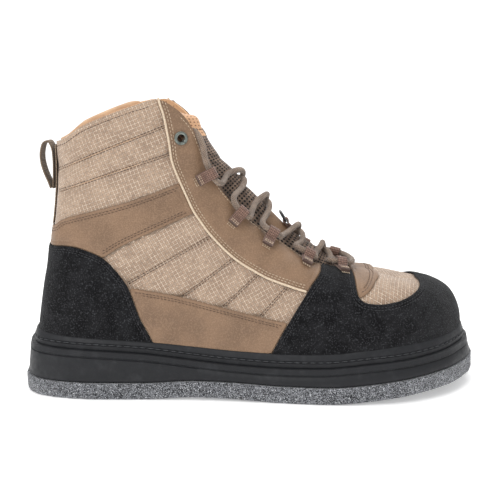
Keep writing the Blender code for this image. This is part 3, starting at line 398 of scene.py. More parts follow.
# The cloth's grid, and how far it leans on the quarter, the ankle and the vamp, in degrees
RIPSTOP_CELL = 2.5 * MM
QUARTER_LEAN = 29
ANKLE_LEAN = 21
VAMP_LEAN = 12
# Round the heel the cloth is measured along the ribs at CLOTH_RISE. From HEEL_CLOTH_START on, it turns
# into the place along the boot within HEEL_CLOTH_BLEND, and the two agree at HEEL_CLOTH_MATCH. All three
# are shares of SOLE_LENGTH.
CLOTH_RISE = 0.85
HEEL_CLOTH_START = 0.12
HEEL_CLOTH_BLEND = 0.10
HEEL_CLOTH_MATCH = 0.22
# Where the vamp starts, as a share of SOLE_LENGTH, and the rib from which the upper is closed over the foot
VAMP_START = 0.67
CLOSED_STATION = 0.75

# Round piping beside the facing's edge
PIPING_RADIUS = 0.75 * MM
PIPING_INSET = 0.9 * MM
PIPING_LIFT = 0.35 * MM

# The tongue's padding: height and number of the pads, where they end, the swell at the top, where the top
# starts to thin and over what length, and where the mesh turns into lining, in metres along its cloth.
TONGUE_PAD = 1.6 * MM
TONGUE_PADS = 7
TONGUE_PAD_END = 0.86
TONGUE_SWELL = 2.2 * MM
TONGUE_SWELL_PLACE = 0.93
TONGUE_SWELL_LENGTH = 0.035
TONGUE_TAPER = 0.94
TONGUE_TIP = 0.06
TONGUE_LINING_START = 0.137
# Size of the tongue's cloth in metres: its length, and half its width
TONGUE_CLOTH = (0.165, 0.038)

# The collar lining: last rib that it reaches, how far down the ribs it goes, and its swell inside
COLLAR_REACH = 0.285
COLLAR_DOWN = 0.5
COLLAR_SWELL = 2.2 * MM

# An overlay: width of its rounded edge and thickness at its rim, as a share of the whole
ROUNDING = 0.8 * MM
OVERLAY_RIM = 0.4
# Its stitched hem: middle of the shallow channel and the two rows of stitches, from the edge inward
HEM_PLACE = 2.9 * MM
HEM_ROWS = (2.2 * MM, 3.7 * MM)
HEM_WIDTH = 0.7 * MM
HEM_DEPTH = 0.25 * MM

# Stitches of each seam: pitch, length and radius
SEAM_STITCH = (2.4 * MM, 1.7 * MM, 0.26 * MM)
QUILT_STITCH = (2.3 * MM, 1.7 * MM, 0.28 * MM)
RIM_STITCH = (2.4 * MM, 1.8 * MM, 0.28 * MM)
LOOP_STITCH = (1.6 * MM, 1.2 * MM, 0.28 * MM)
TONGUE_STITCH = (1.9 * MM, 1.5 * MM, 0.25 * MM)
TAB_STITCH = (2 * MM, 1.5 * MM, 0.22 * MM)
RAND_STITCH = (5.2 * MM, 4.2 * MM, 0.5 * MM)
# Rows of stitches up one rise of the ribs: first station, last station and rise
THROAT_SEAM = (0.352, 0.655, 0.978)
RIM_SEAM = (0.03, 0.30, 0.976)

# Quilted channels of the cloth: start and end seen from the side, in millimetres from the heel and the
# floor. The skin is cut at QUILT_CUTS beside them, and QUILT_ROWS carry the stitches.
QUILT_DEPTH = 2.1 * MM
QUILT_WIDTH = 1.5 * MM
QUILT_CUTS = (-2.2 * MM, -1.1 * MM, 0.0 * MM, 1.1 * MM, 2.2 * MM)
QUILT_ROWS = (-0.75 * MM, 0.75 * MM)
QUILTS = (
    ((33, 153.5), (102, 180.6)),
    ((35, 139.5), (105, 162.8)),
    ((76, 77.0), (131, 107.9)),
    ((111, 66.6), (147, 93.6)),
    ((140, 61.3), (164, 84.3)),
    ((165, 55.7), (183, 76.1)),
)
# Creases: start, end, depth and width, in millimetres.
CREASES = (
    ((60, 118), (112, 136), 0.5, 5.0),
    ((104, 150), (122, 158), 0.6, 4.0),
    ((112, 132), (134, 144), 0.5, 4.0),
    ((138, 104), (160, 118), 0.45, 4.5),
    ((168, 88), (186, 98), 0.4, 4.0),
    ((196, 46), (222, 74), 0.5, 6.0),
    ((226, 42), (238, 60), 0.5, 6.0),
    ((256, 48), (300, 56), 0.5, 7.0),
    ((240, 56), (268, 58), 0.45, 5.0),
    ((22, 84), (66, 74), 0.5, 7.0),
    ((70, 52), (84, 62), 0.4, 5.0),
    ((90, 50), (160, 44), 0.35, 6.0),
)


# The boot's own shapes

def unit(vectors):
    """The same directions with length 1."""
    return vectors / np.linalg.norm(vectors, axis=-1, keepdims=True)


def walked_along(points):
    """Distance walked along rows of points, 0 at the first."""
    return np.concatenate([[0], np.cumsum(np.linalg.norm(np.diff(points, axis=0), axis=1))])


def read_along(wanted, walked, values):
    """Rows of values, read at wanted distances along a walk."""
    return np.stack([np.interp(wanted, walked, column) for column in values.T], axis=1)


def slopes_of(places, values):
    """Slope at each row: harmonic mean of its two neighbours' slopes, and level at a crest or a flat."""
    steps = np.diff(values) / np.diff(places)
    slopes = np.zeros(len(values))
    same_way = steps[:-1] * steps[1:] > 0
    before = steps[:-1][same_way]
    after = steps[1:][same_way]
    slopes[1:-1][same_way] = 2 * before * after / (before + after)
    slopes[0] = steps[0]
    slopes[-1] = steps[-1]
    return slopes


def graph(at, places, values):
    """Smooth graph through table rows, which never swings past them."""
    places = np.asarray(places, float)
    values = np.asarray(values, float)
    at = np.clip(np.asarray(at, float), places[0], places[-1])
    slopes = slopes_of(places, values)
    row = np.clip(np.searchsorted(places, at, side="right") - 1, 0, len(places) - 2)
    width = places[row + 1] - places[row]
    share = (at - places[row]) / width
    rise = share * share * (3 - 2 * share)
    start_pull = share * (1 - share) ** 2 * width * slopes[row]
    end_pull = share * share * (share - 1) * width * slopes[row + 1]
    return values[row] * (1 - rise) + values[row + 1] * rise + start_pull + end_pull


def curve_at(points, at, closed=False):
    """Points of a smooth curve through rows of points, at shares from 0 to the number of gaps."""
    rows = np.asarray(points, float)
    count = len(rows)
    at = np.asarray(at, float)
    low = np.floor(at).astype(int)
    if not closed:
        low = np.clip(low, 0, count - 2)
    share = (at - low)[..., None]

    def row(index):
        if closed:
            return rows[index % count]
        return rows[np.clip(index, 0, count - 1)]

    first, second, third, fourth = row(low - 1), row(low), row(low + 1), row(low + 2)
    pull_in = (third - first) / 2
    pull_out = (fourth - second) / 2
    rise = share * share * (3 - 2 * share)
    return (second * (1 - rise) + third * rise
            + share * (1 - share) ** 2 * pull_in
            + share * share * (share - 1) * pull_out)


def curve_through(points, count, closed=False):
    """Evenly spaced points along a smooth curve through the given ones."""
    gaps = len(points) if closed else len(points) - 1
    fine = np.linspace(0, gaps, gaps * CURVE_STEPS + 1)
    dense = curve_at(points, fine, closed)
    walked = walked_along(dense)
    wanted = np.linspace(0, walked[-1], count, endpoint=not closed)
    return curve_at(points, np.interp(wanted, walked, fine), closed)


def columns(table):
    """The columns of a table as arrays."""
    return [np.array(column, float) for column in zip(*table)]


def from_heel(share):
    """X of a place given as a share of the sole's length from the heel."""
    return (np.asarray(share, float) - 0.5) * SOLE_LENGTH


def to_share(x):
    """Share of the sole's length from the heel at X."""
    return np.asarray(x, float) / SOLE_LENGTH + 0.5


def sole_rail(station, side, inset):
    """Plan points of the outline at stations from heel (0) to toe (1), moved inward by inset.

    side is -1 on the lateral side and +1 on the medial side.
    """
    along, lateral, medial = columns(SOLE_SIDES)
    half = BALL_WIDTH / 2
    out = np.stack([from_heel(along), lateral * half], axis=1)
    back = np.stack([from_heel(along), medial * half], axis=1)[-2:0:-1]
    loop = np.concatenate([out, back])
    gaps = len(loop)
    fine = np.linspace(0, gaps, gaps * OUTLINE_STEPS + 1)
    dense = curve_at(loop, fine, True)
    walked = walked_along(dense)
    toe = walked[(len(along) - 1) * OUTLINE_STEPS]
    station = np.asarray(station, float)
    if side < 0:
        wanted = station * toe
    else:
        wanted = walked[-1] - station * (walked[-1] - toe)
    at = np.interp(wanted, walked, fine)
    reach = 0.02
    ahead = curve_at(loop, (at + reach) % gaps, True)
    behind = curve_at(loop, (at - reach) % gaps, True)
    heading = unit(ahead - behind)
    outward = np.stack([heading[..., 1], -heading[..., 0]], axis=-1)
    return curve_at(loop, at % gaps, True) - outward * inset


def sole_height(x, number, size):
    """A height along the sole, from one column of its table."""
    table = columns(SOLE_PROFILE)
    return graph(to_share(x), table[0], table[number] * size)


def tread_height(x):
    """Height of the felt's underside."""
    return sole_height(x, 1, TOE_SPRING)


def step_height(x):
    """Height of the sidewall's top edge, where the rand and the upper stand."""
    return sole_height(x, 2, HEEL_STACK)


def rand_height(x):
    """Height of the rand's top edge."""
    return step_height(x) + sole_height(x, 3, RAND_HEIGHT)


def middle(x):
    """Y of the last's middle line."""
    along, across = columns(MIDLINE)
    return graph(to_share(x), along, across * BALL_WIDTH / 2)


def upper_point(station, rise, side, lift=0.0):
    """Points of the upper's outer face.

    A rib rises from the feather line to the top line. Its run inward is rise ** lean, and its climb is
    1 - (1 - arch * rise) ** dome, brought to 1 at the top. The ankle is pinched inward by a low wave.
    """
    station = np.asarray(station, float)
    rise = np.asarray(rise, float)
    place, reach, lateral, medial, height, lean, dome, arch, pinch = columns(UPPER_SECTIONS)
    sideways = lateral if side < 0 else medial

    def column(values):
        mirrored_place = np.concatenate([-place[:0:-1], place])
        mirrored = np.concatenate([values[:0:-1], values])
        return graph(station, mirrored_place, mirrored)

    foot = sole_rail(station, side, UPPER_INSET)
    foot_z = step_height(foot[..., 0]) + GAP
    top_x = from_heel(column(reach))
    across = graph(station, np.concatenate([-place[:0:-1], place]),
                   np.concatenate([-sideways[:0:-1], sideways]))
    top_y = middle(top_x) + side * across * COLLAR_WIDTH / 2
    top_z = column(height) * COLLAR_HEIGHT
    covered = column(arch)
    curl = column(dome)
    run = rise ** column(lean)
    climb = (1 - (1 - covered * rise) ** curl) / (1 - (1 - covered) ** curl)
    wave = np.sin(math.pi * rise ** 1.8) * column(pinch) * ANKLE_PINCH
    inward = unit(sole_rail(station, side, UPPER_INSET + MM) - foot)
    x = foot[..., 0] + (top_x - foot[..., 0]) * run + inward[..., 0] * wave
    y = foot[..., 1] + (top_y - foot[..., 1]) * run + inward[..., 1] * wave
    z = foot_z + (top_z - foot_z) * climb
    points = np.stack([x, y, z], axis=-1)
    if np.any(lift):
        points = points + upper_normal(station, rise, side) * np.asarray(lift)[..., None]
    return points


def upper_normal(station, rise, side):
    """Outward direction of the upper's face."""
    step = SLOPE_STEP
    station = np.asarray(station, float)
    rise = np.clip(np.asarray(rise, float), step, 1 - step)
    along = upper_point(station + step, rise, side) - upper_point(station - step, rise, side)
    up = upper_point(station, rise + step, side) - upper_point(station, rise - step, side)
    return unit(np.cross(along, up) * -side)


def above(rule, rise):
    """A height rule moved up by rise."""
    return lambda x: rule(x) + rise


def edge_line(table, count=24, shift=0.0):
    """A smooth edge seen from the side, moved to its left by shift."""
    rows = [(float(from_heel(along)), height * COLLAR_HEIGHT) for along, height in table]
    line = curve_through(rows, count)
    if shift:
        heading = unit(np.gradient(line, axis=0))
        line = line + np.stack([-heading[:, 1], heading[:, 0]], axis=1) * shift
    return line


def rand_line(start, end, count=16):
    """The top of the rand seen from the side, with its clearance."""
    x = np.linspace(from_heel(start), from_heel(end), count)
    return np.stack([x, rand_height(x) + GAP], axis=1)


def line_crossing(first, second):
    """Where two edge lines cross, as the place along each."""
    best = None
    for low in range(len(first) - 1):
        for other in range(len(second) - 1):
            a, b = first[low], first[low + 1]
            c, d = second[other], second[other + 1]
            ab, cd = b - a, d - c
            turn = ab[0] * cd[1] - ab[1] * cd[0]
            if abs(turn) < 1e-12:
                continue
            share = ((c - a)[0] * cd[1] - (c - a)[1] * cd[0]) / turn
            other_share = ((c - a)[0] * ab[1] - (c - a)[1] * ab[0]) / turn
            if 0 <= share <= 1 and 0 <= other_share <= 1:
                best = (low, other, a + ab * share)
    return best


def cut_after(first, second):
    """The first line from its start to where it meets the second."""
    low, _, meeting = line_crossing(first, second)
    return np.vstack([first[:low + 1], meeting])


def cut_before(first, second):
    """The first line from where it meets the second to its end."""
    low, _, meeting = line_crossing(first, second)
    return np.vstack([meeting, first[low + 1:]])


def between(line, start_line, end_line):
    """The part of a line between two others."""
    return cut_after(cut_before(line, start_line), end_line)


def overlay_outlines():
    """Closed outlines of the overlays, from the edges that they share."""
    half = SEAM_GAP / 2
    far = 1.15 * COLLAR_HEIGHT
    toe = float(from_heel(1.04))
    rand = rand_line(-0.04, 1.04, 120) - (0, 3 * GAP)
    counter_in = edge_line(COUNTER_EDGE, 70, -half)
    counter_out = edge_line(COUNTER_EDGE, 70, half)
    wrap_back = edge_line(WRAP_REAR, 40, -half)
    wrap_front = edge_line(WRAP_REAR, 40, half)
    piping = edge_line(PIPING, 70, half)
    outlines = {}
    outlines["heel_counter"] = np.vstack([
        rand[rand[:, 0] < line_crossing(counter_in, rand)[2][0]],
        cut_after(counter_in, rand)[::-1],
    ])
    wrap_low = cut_after(wrap_front, rand)
    window = edge_line(WINDOW_EDGE, 60, -half)
    outlines["forefoot_wrap"] = np.vstack([
        wrap_low,
        rand[rand[:, 0] > wrap_low[-1][0] + MM],
        [(toe, window[-1][1])],
        window[::-1],
    ])
    patch = edge_line(PATCH_FRONT, 40)
    window_in = edge_line(WINDOW_EDGE, 60, half)
    outlines["vamp_patch"] = np.vstack([
        cut_after(window_in, patch),
        cut_after(patch, window_in)[::-1],
    ])
    outlines["eyestay"] = np.vstack([
        cut_after(piping, wrap_back),
        cut_after(wrap_back, piping)[::-1],
        [(float(from_heel(0.66)), far), (float(from_heel(0.30)), far)],
    ])
    piping_back = edge_line(PIPING, 70, -half)
    band_top = edge_line(BAND_TOP, 50)
    band_foot = edge_line(BAND_FOOT, 40)
    outlines["ankle_band"] = np.vstack([
        cut_after(counter_out, band_foot),
        between(band_foot, counter_out, piping_back)[1:],
        cut_after(band_top, piping_back)[::-1],
    ])
    side_top = edge_line(SIDE_BAND_TOP, 50)
    outlines["side_band"] = np.vstack([
        between(counter_out, side_top, rand),
        rand[(rand[:, 0] > line_crossing(counter_out, rand)[2][0] + MM)
             & (rand[:, 0] < line_crossing(wrap_back, rand)[2][0] - MM)],
        between(wrap_back, side_top, rand)[::-1],
        between(side_top, counter_out, wrap_back)[1:-1][::-1],
    ])
    return outlines


def tongue_point(place, across, lift=0.0):
    """Points of the tongue's face: place 0 at the vamp to 1 at its top, across -1 lateral to 1 medial.

    Each section is a smooth curve from inside the upper on one side, over the middle line, to the other.
    """
    place = float(place) * (len(TONGUE_SECTIONS) - 1)
    rows = np.arange(len(TONGUE_SECTIONS))
    station, along, height, tuck, room = [float(graph(place, rows, column))
                                          for column in columns(TONGUE_SECTIONS)]
    depth = -(UPPER_WALL + TONGUE_GAP + room * TONGUE_LACE_ROOM)
    x = float(from_heel(along))
    crown = np.array([x, float(middle(x)), height * COLLAR_HEIGHT])
    halves = []
    for side in (-1, 1):
        rises = np.linspace(tuck, 1.0, 3)
        edge = upper_point(np.full(3, station), rises, side, np.full(3, depth))
        under = upper_normal(station, 1.0, side) * TONGUE_GAP
        lip = edge[-1] + (crown - edge[-1]) * TONGUE_LIP - under
        halves.append(np.vstack([edge, lip]))
    section = np.vstack([halves[0], crown, halves[1][::-1]])
    walked = walked_along(section)
    at = (np.asarray(across, float) + 1) / 2 * walked[-1]
    points = np.stack([graph(at, walked, section[:, axis]) for axis in range(3)], axis=-1)
    if lift:
        points = points + tongue_normal(place / (len(TONGUE_SECTIONS) - 1), across) * lift
    return points


def tongue_normal(place, across):
    """Outward direction of the tongue's face."""
    step = 0.01
    place = min(max(place, step), 1 - step)
    across = np.clip(np.asarray(across, float), step - 1, 1 - step)
    up = tongue_point(place + step, across) - tongue_point(place - step, across)
    over = tongue_point(place, across + step) - tongue_point(place, across - step)
    return unit(np.cross(over, up))


def frame_from(normal, along):
    """Three unit directions: along, across and normal."""
    normal = np.asarray(normal, float) / np.linalg.norm(normal)
    along = np.asarray(along, float) - normal * np.dot(along, normal)
    along = along / np.linalg.norm(along)
    return along, np.cross(normal, along), normal


def folded_path(length, eye, thickness):
    """A webbing's path: along its lower layer, round the eye at its end, and back along the upper layer."""
    low = thickness / 2
    high = low + thickness + GAP
    centre = low + eye
    turns = np.radians(np.linspace(-90, -330, LOOP_ARC_STEPS + 1))
    arc = [(eye * math.cos(turn), centre + eye * math.sin(turn)) for turn in turns]
    landing = arc[-1][0] + (arc[-1][1] - high) * math.tan(math.radians(30))
    return [(length, low)] + arc + [(landing, high), (length, high)]


def loop_eye():
    """Radius of the webbing's middle round the lace."""
    return LACE_DIAMETER / 2 + LACE_GAP + WEBBING_THICKNESS / 2


def carried_on(number):
    """Thickness of the overlay that carries a lace loop."""
    return WRAP_THICKNESS if number == len(LOOP_STATIONS) - 1 else LEATHER_THICKNESS


def loop_seat(number, side):
    """Seat of a lace loop, square to the throat: its place, the way down, along the throat, and outward.

    The way down is laid on the upper half a loop's length from the edge, and the seat is taken from there.
    """
    station = LOOP_STATIONS[number]
    step = SLOPE_STEP
    edge = upper_point(station, LOOP_RISE, side)
    behind = upper_point(station - step, LOOP_RISE, side)
    along = (upper_point(station + step, LOOP_RISE, side) - behind) / (2 * step)
    up = (edge - upper_point(station, LOOP_RISE - step, side)) / step
    down = np.cross(upper_normal(station, LOOP_RISE, side), along)
    down *= -np.sign(np.dot(down, up)) / np.linalg.norm(down)
    half = LOOP_LENGTH / 2
    shares = np.linalg.lstsq(np.stack([along, up], axis=1), down * half, rcond=None)[0]
    laid = upper_point(station + shares[0], LOOP_RISE + shares[1], side)
    out = upper_normal(station + shares[0], LOOP_RISE + shares[1], side)
    down, over, out = frame_from(out, down)
    forward = over * np.sign(np.dot(over, along))
    return laid + out * (carried_on(number) + 4 * GAP) - down * half, down, forward, out


def loop_passage(number, side):
    """The lace's straight stretch through a loop, from its upper end to its lower end."""
    seat, _, forward, out = loop_seat(number, side)
    centre = seat + out * (loop_eye() + WEBBING_THICKNESS / 2)
    reach = LOOP_WIDTH / 2 + LACE_STRAIGHT
    return np.array([centre - forward * reach, centre + forward * reach])


def tongue_place(station):
    """Place along the tongue beside a rib of the upper."""
    stations = columns(TONGUE_SECTIONS)[0]
    places = np.linspace(0, 1, len(stations))
    return float(np.interp(station, stations[::-1], places[::-1]))


def shoulder_point(number, toward, side):
    """Where a strand turns over the edge of the throat, between a loop and the next one it goes to."""
    station = LOOP_STATIONS[number] + SHOULDER * (LOOP_STATIONS[toward] - LOOP_STATIONS[number])
    lift = GAP + carried_on(number) + LACE_DIAMETER / 2 + LACE_GAP + LACE_CLEAR
    return upper_point(station, SHOULDER_RISE, side) + upper_normal(station, 1.0, side) * lift


def strand_points(number, side):
    """Points of a strand over the tongue, from a loop on one side to the next loop on the other."""
    place, over_tab = CROSSINGS[number]
    start = tongue_place(LOOP_STATIONS[number])
    end = tongue_place(LOOP_STATIONS[number + 1])
    rest = LACE_DIAMETER / 2 + LACE_GAP + LACE_CLEAR + over_tab * (TAB_THICKNESS + 2 * GAP)
    points = [shoulder_point(number, number + 1, side)]
    for across, pull, over in STRAND:
        at = place + abs(pull) * ((start if pull < 0 else end) - place)
        hump = over * (LACE_DIAMETER + LACE_GAP) if side < 0 else 0.0
        points.append(tongue_point(at, CROSSING_SHIFT - side * across, rest + hump))
    points.append(shoulder_point(number + 1, number, -side))
    return np.array(points)


def lace_route():
    """The whole lace: down from the first lateral loop, across the bar, and up to the first medial loop."""
    last = len(LOOP_STATIONS) - 1
    route = []
    side = -1
    for number in range(last):
        route.append(loop_passage(number, side))
        route.append(strand_points(number, side))
        side = -side
    start = loop_passage(last, side)
    end = loop_passage(last, -side)[::-1]
    share = np.linspace(0, 1, 5)[1:-1, None]
    bulge = 4 * share * (1 - share) * np.array([BAR_REACH, 0, -BAR_SAG])
    route += [start, start[-1] + (end[0] - start[-1]) * share + bulge, end]
    side = -side
    for number in range(last - 1, -1, -1):
        side = -side
        route.append(strand_points(number, side)[::-1])
        route.append(loop_passage(number, side)[::-1])
    return np.concatenate(route)


def ring_path():
    """A ring with one straight bar on its hinge axis and a round outer side, in its own XY plane."""
    half = RING_WIDTH / 2
    corner = 2 * RING_WIRE
    corners = (
        (corner, half - corner, 180),
        (RING_LENGTH - corner, half - corner, 90),
        (RING_LENGTH - corner, corner - half, 0),
        (corner, corner - half, -90),
    )
    path = []
    for x, y, start in corners:
        for turn in np.radians(np.linspace(start, start - 90, 3)):
            path.append((x + corner * math.cos(turn), y + corner * math.sin(turn), 0.0))
    return path


# Grids and meshes

def quads(rows, columns_, round_rows=False, round_columns=False):
    """Faces of a grid of points, closed into a ring where asked."""
    index = np.arange(rows * columns_).reshape(rows, columns_)
    if round_rows:
        index = np.vstack([index, index[:1]])
    if round_columns:
        index = np.hstack([index, index[:, :1]])
    corners = [index[:-1, :-1], index[1:, :-1], index[1:, 1:], index[:-1, 1:]]
    return np.stack(corners, axis=-1).reshape(-1, 4)


def tube_faces(rows, around):
    """Faces of a closed form: a grid of rings, and one face over each end."""
    faces = quads(rows, around, False, True).tolist()
    faces.append(list(range(around))[::-1])
    faces.append(list(range((rows - 1) * around, rows * around)))
    return faces


def make_mesh(name, points, faces, finish, flat=None):
    """A mesh object from arrays. flat holds a place on the cloth, in metres, for each point."""
    points = np.asarray(points, float).reshape(-1, 3)
    mesh = bpy.data.meshes.new(name)
    mesh.from_pydata(points.tolist(), [], [list(face) for face in faces])
    if flat is not None:
        flat = np.asarray(flat, float).reshape(-1, 2)
        corners = np.empty(len(mesh.loops), int)
        mesh.loops.foreach_get("vertex_index", corners)
        layer = mesh.uv_layers.new(name="flat")
        layer.data.foreach_set("uv", flat[corners].ravel())
    mesh.validate()
    mesh.shade_smooth()
    mesh.materials.append(finish)
    item = bpy.data.objects.new(name, mesh)
    bpy.context.scene.collection.objects.link(item)
    return item


def mend(item, outward=False, sharp=50):
    """Weld the doubles of a mesh, turn its faces outward if asked, and keep its sharp edges."""
    form = bmesh.new()
    form.from_mesh(item.data)
    bmesh.ops.remove_doubles(form, verts=form.verts[:], dist=1e-6)
    if outward:
        bmesh.ops.recalc_face_normals(form, faces=form.faces[:])
    form.to_mesh(item.data)
    form.free()
    item.data.shade_smooth()
    item.data.set_sharp_from_angle(angle=math.radians(sharp))
    return item


def settle(item, sharp=40):
    """Work out an object's modifiers once and keep the result as its mesh."""
    bpy.context.view_layer.update()
    graph_now = bpy.context.evaluated_depsgraph_get()
    mesh = bpy.data.meshes.new_from_object(item.evaluated_get(graph_now))
    item.modifiers.clear()
    item.data = mesh
    mesh.shade_smooth()
    mesh.set_sharp_from_angle(angle=math.radians(sharp))
    return item


def dress(item, body, slot, *nodes):
    """Ride a piece on a body and let it stand for its CAD nodes, which are hidden. slot is not used."""
    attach(item, body)
    if nodes:
        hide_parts(*nodes)
    return item


def grain(points, cell, seed):
    """Smooth random heights from -1 to 1: random values at the corners of cubes, eased between them."""
    table = np.random.default_rng(seed).uniform(-1, 1, (32, 32, 32))
    scaled = points / cell
    low = np.floor(scaled).astype(int)
    share = scaled - low
    share = share * share * (3 - 2 * share)
    total = np.zeros(points.shape[:-1])
    for corner in np.ndindex(2, 2, 2):
        weight = np.prod(np.where(np.array(corner) == 1, share, 1 - share), axis=-1)
        at = (low + corner) % 32
        total += weight * table[at[..., 0], at[..., 1], at[..., 2]]
    return total


# Finishes

def paint(red, green, blue):
    """A colour given from 0 to 255, as light."""
    shares = np.array([red, green, blue]) / 255
    light = np.where(shares <= 0.04045, shares / 12.92, ((shares + 0.055) / 1.055) ** 2.4)
    return (*light.tolist(), 1.0)


class Finish:
    """A material of one shader, built up node by node."""

    def __init__(self, name, roughness, **sockets):
        self.material = bpy.data.materials.new(name)
        self.material.use_nodes = True
        self.tree = self.material.node_tree
        self.shader = self.tree.nodes["Principled BSDF"]
        self.shader.inputs["Roughness"].default_value = roughness
        for label, value in sockets.items():
            self.shader.inputs[label.replace("_", " ")].default_value = value

    def add(self, kind, inputs, **settings):
        """A node with its settings, and its inputs joined or filled."""
        node = self.tree.nodes.new(kind)
        for label, value in settings.items():
            setattr(node, label, value)
        for label, value in inputs.items():
            if isinstance(value, bpy.types.NodeSocket):
                self.tree.links.new(value, node.inputs[label])
            else:
                node.inputs[label].default_value = value
        return node

    def place(self):
        """The place in the boot, in metres."""
        return self.add("ShaderNodeTexCoord", {}).outputs["Object"]

    def cloth(self):
        """The place on the piece's own cloth, in metres, as two values."""
        spread = self.add("ShaderNodeUVMap", {}, uv_map="flat").outputs["UV"]
        parted = self.add("ShaderNodeSeparateXYZ", {"Vector": spread})
        return spread, parted.outputs["X"], parted.outputs["Y"]

    def sum(self, operation, first, second=0.0):
        """A sum of one or two values."""
        return self.add("ShaderNodeMath", {0: first, 1: second}, operation=operation).outputs["Value"]

    def noise(self, size, detail=2.0, vector=None):
        """Soft noise whose lumps have a size in metres."""
        vector = vector or self.place()
        inputs = {"Vector": vector, "Scale": 1 / size, "Detail": detail}
        return self.add("ShaderNodeTexNoise", inputs).outputs["Fac"]

    def cells(self, size, randomness=1.0, vector=None, feature="F1"):
        """Distance to the middle of the nearest cell, as a share of the cell's size."""
        vector = vector or self.place()
        inputs = {"Vector": vector, "Scale": 1 / size, "Randomness": randomness}
        return self.add("ShaderNodeTexVoronoi", inputs, feature=feature).outputs["Distance"]

    def step(self, value, low, high, start=0.0, end=1.0):
        """A soft step from start to end as value goes from low to high."""
        inputs = {"Value": value, "From Min": low, "From Max": high, "To Min": start, "To Max": end}
        return self.add("ShaderNodeMapRange", inputs, interpolation_type="SMOOTHSTEP").outputs["Result"]

    def lines(self, value, pitch, width):
        """1 on lines a pitch apart and 0 between them. width: share of the pitch."""
        share = self.sum("PINGPONG", self.sum("DIVIDE", value, pitch), 0.5)
        return self.step(share, width / 2, width, 1.0, 0.0)

    def waves(self, value, pitch):
        """Rounded ribs a pitch apart, from 0 to 1."""
        return self.sum("ABSOLUTE", self.sum("SINE", self.sum("MULTIPLY", value, math.pi / pitch)))

    def blend(self, share, first, second):
        """A colour between two."""
        node = self.add("ShaderNodeMix", {}, data_type="RGBA")
        for index, value in ((0, share), (6, first), (7, second)):
            if isinstance(value, bpy.types.NodeSocket):
                self.tree.links.new(value, node.inputs[index])
            else:
                node.inputs[index].default_value = value
        return node.outputs[2]

    def mottled(self, size, detail, low, high, first, second, vector=None):
        """A colour that drifts between two with soft noise."""
        return self.blend(self.step(self.noise(size, detail, vector), low, high), first, second)

    def colour(self, value):
        """Join the colour of the surface."""
        self.tree.links.new(value, self.shader.inputs["Base Color"])

    def rough(self, value):
        """Join the roughness of the surface."""
        self.tree.links.new(value, self.shader.inputs["Roughness"])

    def relief(self, height, depth):
        """Bump whose full height is depth, in metres."""
        bump = self.add("ShaderNodeBump", {"Height": height, "Distance": depth, "Strength": 1.0})
        self.tree.links.new(bump.outputs["Normal"], self.shader.inputs["Normal"])


def ripstop_finish():
    """Coated cloth with a raised grid of pale threads over a fine weave, and painted shadow beside each thread.
    """
    finish = Finish("ripstop_cloth", 0.58, Sheen_Weight=0.1, Coat_Weight=0.06)
    _, across, along = finish.cloth()

    def grid_lines(width_across, width_along):
        first = finish.lines(across, RIPSTOP_CELL, width_across)
        return finish.sum("MAXIMUM", first, finish.lines(along, RIPSTOP_CELL, width_along))

    grid = grid_lines(0.11, 0.09)
    weave = finish.sum("MULTIPLY", finish.waves(across, 0.0006), finish.waves(along, 0.0006))
    ground = finish.mottled(0.012, 3.0, 0.3, 0.7, paint(156, 130, 109), paint(180, 153, 130))
    # Painted shadow: the cloth is darkened toward a deep brown in a band beside each raised grid line.
    beside = grid_lines(0.24, 0.2)
    ground = finish.blend(finish.sum("MULTIPLY", beside, 0.75), ground, paint(112, 88, 71))
    worn = finish.step(finish.noise(0.0021, 1.0), 0.3, 0.6, 0.35, 1.0)
    finish.colour(finish.blend(finish.sum("MULTIPLY", grid, worn), ground, paint(232, 211, 188)))
    height = finish.sum("ADD", finish.sum("MULTIPLY", grid, 0.8), finish.sum("MULTIPLY", weave, 0.2))
    finish.relief(height, 0.0003)
    return finish.material


def leather_finish():
    """Smooth coated leather: fine pebble grain, soft folds of colour and paler rubbed spots."""
    finish = Finish("taupe_leather", 0.5, Specular_IOR_Level=0.45, Coat_Weight=0.08, Coat_Roughness=0.35)
    base = finish.mottled(0.02, 4.0, 0.3, 0.7, paint(118, 92, 70), paint(138, 109, 84))
    pebble = finish.cells(0.0009)
    fleck = finish.step(finish.noise(0.0006, 2.0), 0.45, 0.75)
    base = finish.blend(finish.sum("MULTIPLY", fleck, 0.25), base, paint(94, 71, 53))
    finish.colour(finish.blend(finish.step(pebble, 0.45, 0.75, 0.0, 0.35), base, paint(156, 127, 101)))
    finish.rough(finish.step(finish.noise(0.004, 3.0), 0.2, 0.8, 0.44, 0.6))
    height = finish.sum("ADD", finish.step(pebble, 0.2, 0.7, 1.0, 0.0), finish.noise(0.003, 3.0))
    finish.relief(height, 0.00007)
    return finish.material


def nap_finish():
    """Black napped microfibre: short fibres, grey specks and a soft sheen."""
    finish = Finish("black_nap", 0.95, Sheen_Weight=0.08, Sheen_Roughness=0.5, Specular_IOR_Level=0.12)
    base = finish.mottled(0.01, 3.0, 0.35, 0.65, paint(14, 14, 16), paint(29, 29, 31))
    speck = finish.step(finish.noise(0.0009, 2.0), 0.52, 0.72)
    finish.colour(finish.blend(finish.sum("MULTIPLY", speck, 0.7), base, paint(72, 73, 76)))
    height = finish.sum("ADD", finish.noise(0.0005, 3.0), finish.noise(0.0016, 2.0))
    finish.relief(height, 0.00045)
    return finish.material


def rubber_finish():
    """Matt moulded rubber with a faint skin and a few dusty scuffs."""
    finish = Finish("sole_rubber", 0.5, Specular_IOR_Level=0.3)
    dust = finish.step(finish.noise(0.009, 5.0), 0.5, 0.8)
    finish.colour(finish.blend(finish.sum("MULTIPLY", dust, 0.6), paint(30, 31, 34), paint(52, 53, 56)))
    finish.rough(finish.step(finish.noise(0.003, 4.0), 0.2, 0.8, 0.42, 0.62))
    finish.relief(finish.noise(0.0008, 3.0), 0.00007)
    return finish.material


